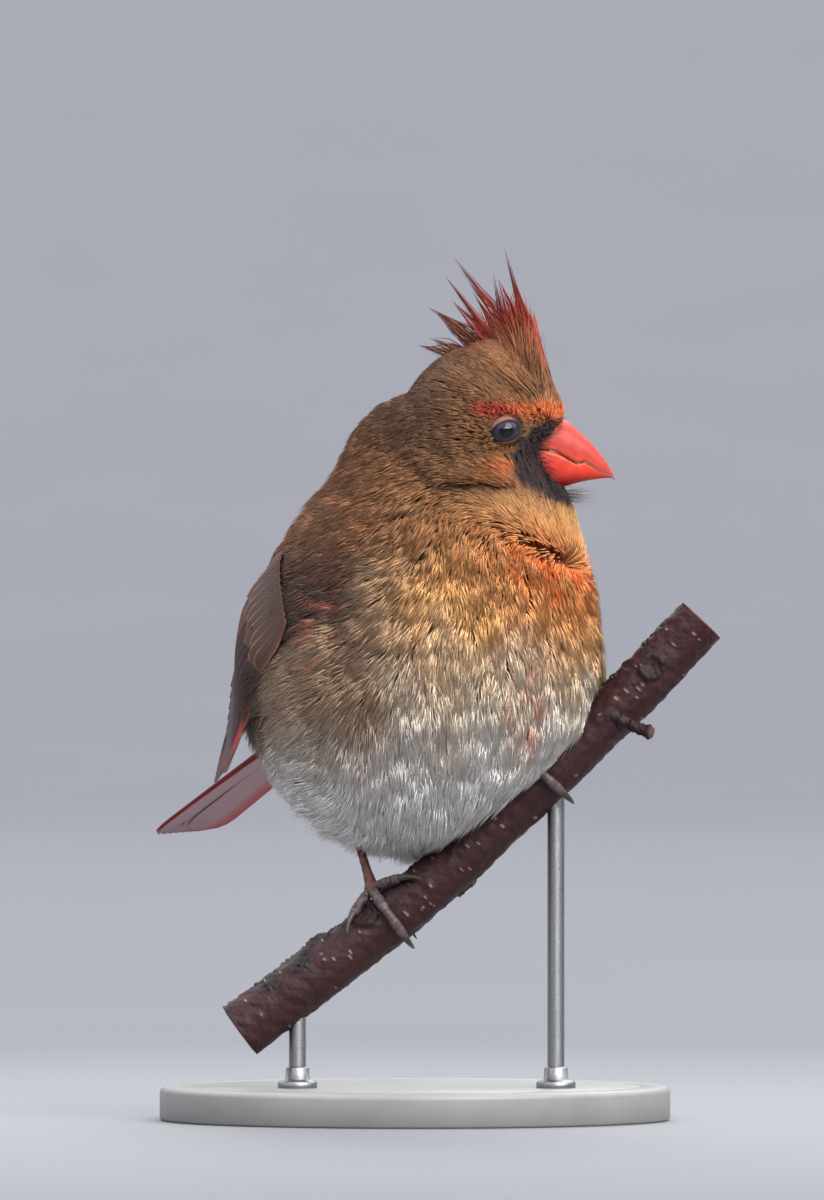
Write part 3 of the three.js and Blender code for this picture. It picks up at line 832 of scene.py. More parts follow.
def locks(paths: Array, ups: Array, widths: Array, shape: LockShape) -> tuple:
    """Closed pointed locks with a three-sided section: two edges and a low ridge.

    Args:
        paths: locks by places by 3, the last place being the tip.
        ups: the direction of each lock's ridge, of the same size as paths.
        widths: the breadth of each lock.
        shape: how a lock narrows.

    Returns:
        Points (locks by ring points by 3), the faces of one lock, and how far along each point is.
    """
    count, places = paths.shape[:2]
    rings = places - 1
    ahead = unit(np.gradient(paths, axis=1))
    side = unit(np.cross(ahead, ups))
    up = np.cross(side, ahead)
    half = 0.5 * widths[:, None, None] * np.array(shape.breadths)[None, :, None]
    centre, s, u = paths[:, :rings], side[:, :rings] * half, up[:, :rings] * half * 2 * shape.ridge
    ring = np.stack([centre - s, centre + u, centre + s], 2).reshape(count, rings * 3, 3)
    points = np.concatenate([ring, paths[:, -1:]], 1)
    i = np.arange(rings - 1)[:, None] * 3
    k = np.arange(3)[None, :]
    a, b = i + k, i + (k + 1) % 3
    quads = np.stack([a, b, b + 3, a + 3], -1).reshape(-1, 4)
    last = (rings - 1) * 3
    tip = np.array([[last + j, last + (j + 1) % 3, rings * 3, rings * 3] for j in range(3)])
    base = np.array([[0, 2, 1, 1]])
    faces = np.vstack([quads, tip, base])
    along = np.concatenate([np.repeat(np.array(shape.places), 3), [1.0]])
    return points, faces, along


def lock_patch(paths: Array, ups: Array, widths: Array, roots: Array, colours: Array, seed: int,
               shape: LockShape = LockShape(), tips: Array | None = None) -> Patch:
    """Locks as one patch, each with its marking, a pick of its own, and its place on the skin's unwrap.

    Args:
        paths: locks by places by 3.
        ups: the ridge directions.
        widths: the breadths.
        roots: each lock's place on the unwrap, locks by 2.
        colours: each lock's marking.
        seed: for the picks.
        shape: how a lock narrows.
        tips: a colour for each lock's tip, or nothing for one colour throughout.

    Returns:
        The patch.
    """
    points, faces, along = locks(paths, ups, widths, shape)
    count, each = points.shape[:2]
    first = points[0]
    turned = np.cross(first[faces[:, 1]] - first[faces[:, 0]], first[faces[:, 2]] - first[faces[:, 0]])
    middle = first[faces[:, :3]].mean(1) - first.mean(0)
    if (turned * middle).sum() < 0:
        faces = faces[:, [1, 0, 3, 2]]
    all_faces = (faces[None] + each * np.arange(count)[:, None, None]).reshape(-1, 4)
    pick = np.repeat(np.random.default_rng(seed).random(count), each)
    shade = np.repeat(colours[:, None], each, 1)
    if tips is not None:
        shade = mix(shade, np.repeat(tips[:, None], each, 1), smooth(along, 0.35, 1.0)[None, :, None])
    ring = np.array([0.0, 0.5, 1.0])
    u = np.concatenate([np.tile(ring, (each - 1) // 3), [0.5]])
    uv = roots[:, None] + TUFT_ON_MAP * (np.stack([u, along], -1)[None] - 0.5)
    values = {"plumage": shade.reshape(-1, 3), "along": np.tile(along, count), "pick": pick}
    return Patch(points.reshape(-1, 3), all_faces, values, np.clip(uv.reshape(-1, 2), 0, 1))


# The wing's and tail's surfaces


@dataclass(frozen=True)
class WingSurface:
    """A folded wing's outer face, by s from shoulder to tip and t from its lower edge to its upper."""

    side: float
    shoulder: tuple = (33.0, -5.0, 131.0)
    elbow: tuple = (34.5, 22.0, 108.0)
    tip: tuple = (19.0, 59.5, 77.5)
    half_widths: tuple = (9, 16, 17, 15, 10, 2.6)
    clear: float = 1.5

    def half(self, s: Array) -> Array:
        """The wing's half breadth at s."""
        return np.interp(s, np.linspace(0, 1, len(self.half_widths)), self.half_widths)

    def point(self, s: Array, t: Array) -> Array:
        """A curved path from shoulder to tip, with t laid off square to it, pushed out clear of the body."""
        s, t = np.broadcast_arrays(np.asarray(s, float), np.asarray(t, float))
        flip = np.array([self.side, 1, 1])
        a, b, c = (np.array(v) * flip for v in (self.shoulder, self.elbow, self.tip))
        w = s[..., None]
        path = a * (1 - w) ** 2 + 2 * b * w * (1 - w) + c * w**2
        tangent = unit((b - a) * (1 - w) + (c - b) * w)
        outwards = unit(np.array([self.side, 0.55, 0.2]))
        across = unit(np.cross(tangent, outwards) * -self.side)
        p = path + across * (self.half(s) * t)[..., None]
        axis = BODY.axis(p[..., 2])
        offset = p - axis
        offset[..., 2] = 0
        length = np.linalg.norm(offset, axis=-1)
        skin = BODY.radius(p[..., 2], np.arctan2(offset[..., 1], offset[..., 0]))
        crown = mix(-1.0, 1.8, smooth(s, 0.15, 0.4))
        edge = np.minimum(np.where(t < 0, -0.4, -2.6), crown)
        lift = mix(mix(crown, edge, smooth(np.abs(t), 0.6, 1)), 1.4, smooth(s, 0.6, 1))
        reach = skin + lift + self.clear * np.logaddexp(0, (length - skin - lift) / self.clear)
        return axis + offset / length[..., None] * reach[..., None]

    def normal(self, s: Array, t: Array) -> Array:
        """The outward direction at s and t."""
        along = self.point(s + 0.01, t) - self.point(s - 0.01, t)
        over = self.point(s, t + 0.03) - self.point(s, t - 0.03)
        return unit(np.cross(along, over)) * self.side


@dataclass(frozen=True)
class TailSurface:
    """The closed tail's upper face, by s from root to tip and t from the bird's right edge to its left."""

    root: tuple = (0.0, 20.0, 102.2)
    tip: tuple = (0.0, 109.0, 64.2)
    root_width: float = 13.0
    width: float = 20.0
    arch: float = 2.2

    def half(self, s: Array) -> Array:
        """The tail's half breadth at s."""
        return mix(self.root_width, self.width, np.sin(np.pi / 2 * np.minimum(s * 1.3, 1))) / 2

    def point(self, s: Array, t: Array) -> Array:
        """Straight back from the root, arched across by 1 - t squared and rounded at the end."""
        s, t = np.broadcast_arrays(np.asarray(s, float), np.asarray(t, float))
        root, along = np.array(self.root), np.array(self.tip) - np.array(self.root)
        length = np.linalg.norm(along)
        along = along / length
        up = unit(np.array([0, 0, 1]) - along * along[2])
        reach = s * (length - 5 * t * t * s)
        p = root + along * reach[..., None] + up * (self.arch * (1 - t * t))[..., None]
        p[..., 0] += self.half(s) * t
        return p

    def normal(self, s: Array, t: Array) -> Array:
        """The upward direction at s and t."""
        along = self.point(s + 0.01, t) - self.point(s - 0.01, t)
        over = self.point(s, t + 0.03) - self.point(s, t - 0.03)
        return unit(np.cross(over, along))


@dataclass(frozen=True)
class FeatherShape:
    """One firm feather on a surface: where it starts and ends, its breadth, and how high it lies."""

    start: tuple
    end: tuple
    half: float
    level: float
    tilt: float = 0.25
    thick: float = 0.3
    point: float = 0.22
    bow: float = 0.0


def feather(surface: object, shape: FeatherShape, colour: object, cell: tuple,
            rows: int = 22, columns: int = 9) -> Patch:
    """A closed vane laid on a surface.

    Its breadth swells from the root as the square root of the way along, and rounds off over the last part.
    Its middle carries a raised shaft, and its edges curve down by the square of the way across.

    Args:
        surface: a wing or tail surface.
        shape: the feather.
        colour: a function of along, across and underside that gives its colours.
        cell: its corner and size on the bake's map.
        rows: steps along.
        columns: steps across.

    Returns:
        The patch.
    """
    a = np.linspace(0, 1, rows)[:, None]
    c = np.linspace(-1, 1, columns)[None, :]
    s = mix(shape.start[0], shape.end[0], a) + 0 * c
    middle = mix(shape.start[1], shape.end[1], a) + shape.bow * np.sin(np.pi * a)
    swell = np.minimum(a / 0.25, 1) ** 0.5 * 0.75 + 0.25
    rounding = np.sqrt(np.clip(1 - (np.clip(a - (1 - shape.point), 0, None) / shape.point) ** 2, 0.002, 1))
    half = shape.half * swell * rounding
    t = middle + c * half / np.maximum(surface.half(s), 2.0)
    base, normal = surface.point(s, t), surface.normal(s, t)
    shaft = 0.10 * np.exp(-((c * half / 0.35) ** 2)) * (1 - a)
    height = shape.level + shape.tilt * c - 0.05 * half * c * c + shaft
    thick = shape.thick * (1 - 0.6 * c * c) * mix(1.0, 0.5, a)
    top = base + normal * height[..., None]
    under = base + normal * (height - thick)[..., None]
    rings = np.concatenate([top, under[:, ::-1]], 1)
    length = np.linalg.norm(surface.point(np.array(shape.end[0]), np.array(shape.end[1]))
                            - surface.point(np.array(shape.start[0]), np.array(shape.start[1])))
    aa, cc = a + 0 * c, c + 0 * a
    values = {
        "plumage": np.concatenate([colour(aa, cc, False), colour(aa, cc, True)[:, ::-1]], 1),
        "along_mm": np.concatenate([aa, aa], 1) * length,
        "across_mm": np.concatenate([cc * half, (cc * half)[:, ::-1]], 1),
    }
    x, y, size = cell
    uu = np.r_[np.linspace(0.02, 0.48, columns), np.linspace(0.52, 0.98, columns)][None, :] + 0 * a
    uv = np.stack([x + size * uu, y + size * (0.02 + 0.96 * a) + 0 * uu], -1)
    return tube(rings, values, uv)


def cells(count: int) -> list:
    """Places for a number of feathers on the bake's map, as corners and a size."""
    side = math.ceil(math.sqrt(count))
    return [((i % side) / side, (i // side) / side, 0.98 / side) for i in range(count)]


# The bird


class Region(Enum):
    """The parts of the coat, each its own piece or pieces."""

    FACE = "face"
    HEAD = "head"
    NECK = "neck"
    BREAST = "breast"
    BELLY = "belly"
    RIGHT = "flank_right"
    LEFT = "flank_left"
    BACK = "back"


@dataclass
class Skin:
    """The one skin under the coat, from crown to belly, whose unwrap the coat's map follows."""

    rows: int = 220
    columns: int = 220

    def build(self, material: Material) -> None:
        """Makes the skin: each slice of the outline, drawn in by the coat's depth."""
        outline = BODY.slices(self.rows, self.columns)
        flat = outline.reshape(-1, 3)
        skin = BODY.settle(BODY.settle(flat, -0.5 * coat_depth(flat)), -coat_depth(flat) - 0.4)
        rings = skin.reshape(outline.shape)
        # The skin takes the markings a tenth darker, and its along value of 0.3 darkens it again by the
        # down's root shade: painted shade deep in the coat.
        values = {"plumage": plumage(outline) * 0.9, "along": np.full(outline.shape[:2], 0.3),
                  "pick": np.full(outline.shape[:2], 0.5)}
        patch = tube(rings, values, unwrap(outline))
        build("skin", patch, material, ("head", "neck", "trunk"))


def unwrap(p: Array) -> Array:
    """The skin's own unwrap: the turn round the axis across, and the height up."""
    axis = BODY.axis(p[..., 2])
    turn = np.arctan2(p[..., 1] - axis[..., 1], p[..., 0] - axis[..., 0]) % (2 * np.pi)
    height = np.clip((p[..., 2] - 58) / 128, 0, 1)
    return np.stack([0.005 + 0.98 * turn / (2 * np.pi), 0.01 + 0.98 * height], -1)


@dataclass
class Coat:
    """The body feathers: locks rooted all over the skin, lying along the body.

    Attributes:
        seed: for every random draw of the coat.
        count: how many locks there are.
        piece_limit: the most locks in one piece.
        cheek_rise: places forward on the head, with the cheek feathers' angle there.
    """

    seed: int = 11
    count: int = 134000
    piece_limit: int = 19500
    cheek_rise: tuple = ((-17, -28), (-10, -17), (-4, -7), (2, 0), (5, 6), (8, 25), (11, 45), (14, 40))

    def density(self, p: Array) -> Array:
        """Locks for each square millimetre: most on the face."""
        h = headness(p)
        face = smooth(to_head(p)[..., 0], 0, 9) * h
        body = mix(4.6, 3.2, smooth(np.abs(turn_from_front(p)), 95, 125))
        return mix(mix(body, 8.0, h), 16.0, face)

    def length(self, p: Array) -> Array:
        """How long the locks are."""
        q = to_head(p)
        body = mix(12.5, 8.5, smooth(p[..., 2], 76, 135))
        long = mix(body, 5.0, headness(p))
        long = mix(1.4, long, smooth(eye_offset(q)[2], 4.0, 11.0))
        return mix(1.7, long, smooth(bill_gap(q), 1.0, 2.6))

    def width(self, p: Array) -> Array:
        """How broad the locks are."""
        q = to_head(p)
        wide = mix(mix(0.34, 0.40, smooth(np.abs(turn_from_front(p)), 80, 115)), 0.28, headness(p))
        return mix(0.15, wide, np.minimum(smooth(eye_offset(q)[2], 4, 10), smooth(bill_gap(q), 0.9, 2.2)))

    def lie(self, p: Array, normal: Array) -> Array:
        """The way the feathers point.

        On the body they hang down in front and swing back and down round the flanks, by an angle below the
        level tangent. Over the crown they radiate from the bill's top, and across the cheek they run back.

        Args:
            p: points of the outline.
            normal: the outward directions there.

        Returns:
            Unit directions along the surface.
        """
        turn, z = turn_from_front(p), p[..., 2]
        low = np.interp(z, [95, 113, 133], [38, 14, 5])
        high = np.interp(z, [95, 113], [78, 60])
        drop = np.radians(90 - 68 * smooth(np.abs(turn), low, high))
        a = np.radians(turn)
        back = np.tanh(turn / 5) * np.array([np.cos(a), np.sin(a), np.zeros_like(a)])
        body = (np.cos(drop) * back - np.sin(drop) * np.array([0.0, 0.0, 1.0]).reshape((3,) + (1,) * a.ndim))
        body = np.moveaxis(body, 0, -1)
        body = mix(body, np.array([0.0, 0.8, -0.6]), smooth(np.abs(turn), 92, 122)[..., None])
        q = to_head(p)
        crown = unit(q[..., [0, 2]] - CREST_FOOT)
        rise = np.radians(np.interp(q[..., 0], *np.array(self.cheek_rise).T))
        cheek = np.stack([-np.cos(rise), np.sin(rise)], -1)
        head = mix(cheek, crown, smooth(q[..., 2], -4, 2)[..., None])
        ex, ez, gap = eye_offset(q)
        head = head + bell(gap, 4.4, 1.5)[..., None] * 1.3 * unit(np.stack([ex, ez], -1))
        way = mix(body, head @ HEAD_AXES[[0, 2]], smooth(headness(p), 0.0, 0.8)[..., None])
        way = way - normal * (way * normal).sum(-1, keepdims=True)
        return unit(way)

    def roots(self, rng: np.random.Generator) -> Array:
        """Places for the locks, spread by area and density, leaving out eyes, bill and wings."""
        grid = BODY.slices(260, 260)
        grid = np.concatenate([grid, grid[:, :1]], 1)
        corner = grid[:-1, :-1]
        area = np.linalg.norm(np.cross(grid[1:, :-1] - corner, grid[:-1, 1:] - corner), axis=-1)
        weight = area * self.density(corner) * self.bare(corner)
        total = np.cumsum(weight.ravel())
        pick = np.searchsorted(total, rng.random(self.count) * total[-1])
        i, k = np.unravel_index(pick, weight.shape)
        u, v = rng.random((2, self.count, 1))
        return (grid[i, k] * (1 - u) * (1 - v) + grid[i + 1, k] * u * (1 - v)
                + grid[i, k + 1] * (1 - u) * v + grid[i + 1, k + 1] * u * v)

    def bare(self, p: Array) -> Array:
        """1 where locks grow and 0 on the eyes, inside the bill's root and under the closed wings."""
        q = to_head(p)
        bill = np.where(q[..., 0] > 9, smooth(bill_gap(q), 0.98, 1.1), 1.0)
        return smooth(eye_offset(q)[2], 3.95, 4.3) * bill * smooth(self.wing_gap(p), 3.0, 4.5)

    def wing_gap(self, p: Array) -> Array:
        """How far points lie from the open parts of the closed wings."""
        s, t = np.meshgrid(np.linspace(0.26, 0.95, 14), np.linspace(-0.58, 0.7, 8), indexing="ij")
        open_ = np.concatenate([WingSurface(side).point(s, t).reshape(-1, 3) for side in (-1.0, 1.0)])
        flat, gap = p.reshape(-1, 3), np.full(p[..., 0].size, 99.0)
        for place in open_:
            gap = np.minimum(gap, ((flat - place) ** 2).sum(-1) ** 0.5)
        return gap.reshape(p.shape[:-1])

    def region(self, p: Array) -> Array:
        """The index of each root's region."""
        h, q, turn = headness(p), to_head(p), turn_from_front(p)
        body = np.where(np.abs(turn) > 110, 7, np.where(turn < -42, 5, np.where(turn > 42, 6, 3)))
        body = np.where((p[..., 2] < 96) & (body == 3), 4, body)
        head = np.where(q[..., 0] > 3, 0, 1)
        return np.where(h > 0.62, head, np.where(h > 0.02, 2, body))

    def build(self, material: Material) -> None:
        """Makes the coat's pieces.

        A lock starts under the skin, and its middle and tip lie near the outline. Locks draw together
        towards the centres of uneven cells, so that they part in tufts.

        Args:
            material: the down's finish.
        """
        rng = np.random.default_rng(self.seed)
        root = self.roots(rng)
        normal = BODY.normal(root)
        depth, length, width = coat_depth(root), self.length(root), self.width(root)
        way = self.lie(root, normal)
        side = np.cross(way, normal)
        swirl = 0.13 * Ripple(9, 21)(root) + 0.08 * Ripple(26, 22)(root) + rng.normal(0, 0.07, self.count)
        way = unit(way + side * swirl[:, None])
        length = length * rng.uniform(0.75, 1.15, self.count)
        width = width * rng.uniform(0.7, 1.25, self.count)
        cell = 6.0 * np.clip(depth / 5, 0.25, 1)
        warp = root + 2.2 * np.stack([Ripple(13, k)(root) for k in (31, 32, 33)], -1)
        index = np.floor(warp / cell[:, None])
        each = (np.sin(index @ np.array([12.9898, 78.233, 37.719])) * 43758.5453) % 1.0
        centre = (index + 0.5) * cell[:, None] - (warp - root)
        pull = centre - root
        pull -= normal * (pull * normal).sum(-1, keepdims=True)
        lift = (0.10 * Ripple(7, 23)(root) + 0.16 * (each - 0.5) + rng.normal(0, 0.05, self.count)) * depth
        stray = (rng.random(self.count) < 0.02) * rng.uniform(0.2, 0.7, self.count)
        stray = stray * np.minimum(depth, 2.5) * 0.5
        levels = (-depth - 0.3, -0.16 * depth + 0.7 * lift, 0.02 * depth + lift + stray)
        crease = fold(root)
        step = 0.6 * bell(crease, 2.4, 1.8) - 1.5 * np.exp(-np.clip(-crease, 0, None) / 2.6) * (crease < 0)
        levels = (levels[0], levels[1] + 0.8 * step, levels[2] + step)
        fringe = (1 - smooth(root[:, 2], 70, 92)) * (each > 0.5) * rng.uniform(0.1, 2.2, self.count)
        rise = 2.3 * (1 - smooth(self.wing_gap(root), 3, 10)) + fringe
        paths, ups = [], []
        for s, level, gather in zip((0.0, 0.5, 1.0), levels, (0.0, 0.12, 0.48)):
            q = root + way * (length * s)[:, None] + pull * gather
            q = BODY.settle(BODY.settle(q, level), np.minimum(level, 0.9) + rise * s)
            paths.append(q)
            ups.append(BODY.normal(q))
        paths, ups = np.stack(paths, 1), np.stack(ups, 1)
        markings = plumage(BODY.settle(root + way * (0.5 * length)[:, None], 0 * depth))
        uneven = contrast(root)
        tone = 1 + uneven * (rng.random(self.count) - 0.5) + 0.35 * uneven * (each - 0.5)
        tone = tone * (1 - 0.75 * uneven * (rng.random(self.count) < 0.10))
        # Locks rooted just below the cheek's crease are painted darker: painted shade under the overhanging
        # cheek feathers.
        tone = tone * (1 - 0.55 * bell(crease, -0.6, 1.3))
        markings = np.clip(markings * tone[:, None], 0, 1)
        tips = np.clip(markings * (1 + 0.35 * uneven * rng.random(self.count))[:, None], 0, 1)
        region, uv = self.region(root), unwrap(root)
        for number, name in enumerate(Region):
            chosen = np.flatnonzero(region == number)
            parts = max(1, math.ceil(len(chosen) / self.piece_limit))
            for part, some in enumerate(np.array_split(chosen, parts)):
                patch = lock_patch(paths[some], ups[some], width[some], uv[some], markings[some],
                                   100 + number, STRAND, tips[some])
                suffix = f"_{part + 1}" if parts > 1 else ""
                build(f"coat_{name.value}{suffix}", patch, material)


@dataclass
class Crest:
    """The raised crest, whose feathers fan back and up from the bill's top.

    Attributes:
        lances: the long points, each by three places forward and up, from its foot to its tip.
        lance_strands: the strands of one long point.
        cover: the short strands of the cone.
        wisps: the loose thin strands.
    """

    lances: tuple = (
        ((10.8, 22.9), (9.0, 28.5), (5.5, 41.8)), ((4.4, 25.7), (1.6, 29.6), (-6.6, 39.5)),
        ((1.6, 21.5), (-1.2, 25.7), (-8.3, 35.1)), ((-1.2, 20.8), (-4.8, 22.9), (-12.6, 27.7)),
        ((5.5, 22.2), (4.1, 27.1), (2.9, 35.8)), ((7.6, 26.4), (5.8, 30.6), (4.1, 34.2)),
        ((9.4, 25.7), (8.7, 29.9), (8.3, 33.5)), ((2.3, 23.6), (0.2, 27.8), (-2.3, 31.7)),
        ((0.2, 21.5), (-2.7, 25.0), (-6.6, 29.2)), ((-6.2, 17.2), (-8.3, 19.0), (-12.2, 20.4)),
        ((-6.9, 16.9), (-10.4, 18.0), (-14.7, 18.8)), ((-4.8, 21.8), (-7.6, 24.3), (-10.4, 26.8)),
    )
    lance_strands: int = 34
    cover: int = 5400
    wisps: int = 90

    def build(self, material: Material) -> None:
        """Makes the crest: a dense cone of short strands, long thin lances over it and a few loose wisps.

        A short strand follows a ray from the bill's top, bent by 2 s (1 - s) and pushed out of the head.

        Args:
            material: the crest's finish.
        """
        rng = np.random.default_rng(41)
        n = self.cover
        rise = np.radians(34 + 50 * rng.random(n) ** 0.8)
        ray = np.stack([-np.cos(rise), np.sin(rise)], -1)
        v = rng.normal(0, 3.2, n)
        low = rng.uniform(5.0, 18.0, n)
        foot = CREST_FOOT + low[:, None] * ray
        root = from_head(np.stack([foot[:, 0], v, foot[:, 1]], -1))
        for _ in range(3):
            root = BODY.settle(root, np.full(n, -1.3))
        root = to_head(root)
        full = mix(23.0, 32.5, smooth(rise, 0.55, 1.1)) - 8.5 * smooth(rise, 1.26, 1.44)
        reach = np.minimum(full * rng.uniform(0.78, 1.03, n), low + rng.uniform(9, 15, n))
        reach = reach - 0.8 * np.abs(v) * rng.random(n)
        tilt = np.minimum(rise + rng.normal(0, 0.03, n), 1.40)
        end = CREST_FOOT + reach[:, None] * np.stack([-np.cos(tilt), np.sin(tilt)], -1)
        aside = mix(1.0, 0.45, smooth(reach, 17, 26)) * v + rng.normal(0, 0.4, n)
        tip = np.stack([end[:, 0], aside, end[:, 1]], -1)
        bend = np.stack([0.04 * reach, 0.25 * v, 0 * v], -1)
        s = np.array([0.0, 0.28, 0.55, 0.8, 1.0])[None, :, None]
        path = from_head(root[:, None] * (1 - s) + tip[:, None] * s + bend[:, None] * 2 * s * (1 - s))
        clear = np.array([-1.3, 0.1, 0.35, 0.4, 0.4])[None]
        for _ in range(2):
            push = np.clip(clear - BODY.distance(path), 0, None)
            path = path + BODY.normal(path) * push[..., None]
        paths = [to_head(path)]
        widths = [rng.uniform(0.30, 0.46, n)]
        warm = (smooth(np.degrees(rise), 42, 62) * smooth(reach, 15, 23) * bell(v, 0, 5.5))[:, None]
        tone = rng.uniform(0.7, 1.35, (n, 1)) * np.where(rng.random((n, 1)) < 0.16, 0.45, 1.0)
        base = mix(PALETTE.crown, PALETTE.red, 0.8 * warm) * tone
        colours, dark = [base], [mix(base, base * 0.55, smooth(reach, 22, 30)[:, None])]
        for i, lance in enumerate(self.lances):
            m = self.lance_strands
            line = spline(np.array(lance), s[0, :, 0])
            foot = line[0] + (CREST_FOOT - line[0]) * 0.35
            line = np.vstack([foot, line[1:]])
            depth = 1.5 * math.sin(2.1 * i)
            path = np.stack([line[:, 0], np.full(5, depth), line[:, 1]], -1)[None] + np.zeros((m, 1, 1))
            gather = np.array([1.5, 1.0, 0.6, 0.28, 0.06])[None, :, None]
            path = path + rng.normal(0, 0.75, (m, 1, 3)) * gather
            cut = rng.uniform(0.62, 1.0, m)[:, None, None]
            cut[:5] = 1.0
            paths.append(path[:, :1] + (path - path[:, :1]) * cut)
            widths.append(rng.uniform(0.22, 0.38, m))
            redness = 0.85 if line[-1, 1] > 28 else 0.25
            shade = mix(PALETTE.crown, PALETTE.red, redness) * rng.uniform(0.5, 1.1, (m, 1))
            colours.append(shade)
            dark.append(shade * 0.10 + srgb(34, 20, 20))
        pick = rng.integers(0, n, self.wisps)
        longer = 1 + rng.uniform(0.12, 0.38, (self.wisps, 1, 1))
        paths.append(paths[0][pick][:, :1] + (paths[0][pick] - paths[0][pick][:, :1]) * longer
                     + rng.normal(0, 0.9, (self.wisps, 1, 3)) * s**2)
        widths.append(rng.uniform(0.13, 0.19, self.wisps))
        colours.append(base[pick] * 0.6)
        dark.append(base[pick] * 0.25)
        q = np.concatenate(paths)
        ups = np.broadcast_to(HEAD_AXES[0], q.shape) + 0.6 * rng.normal(size=(len(q), 1, 3))
        shape = LockShape((0.0, 0.28, 0.55, 0.8), (0.8, 1.0, 0.8, 0.45), 0.4)
        patch = lock_patch(from_head(q), ups, np.concatenate(widths), unwrap(from_head(q[:, 0])),
                           np.concatenate(colours), 42, shape, np.concatenate(dark))
        build("crest_locks", patch, material, ("crest",))


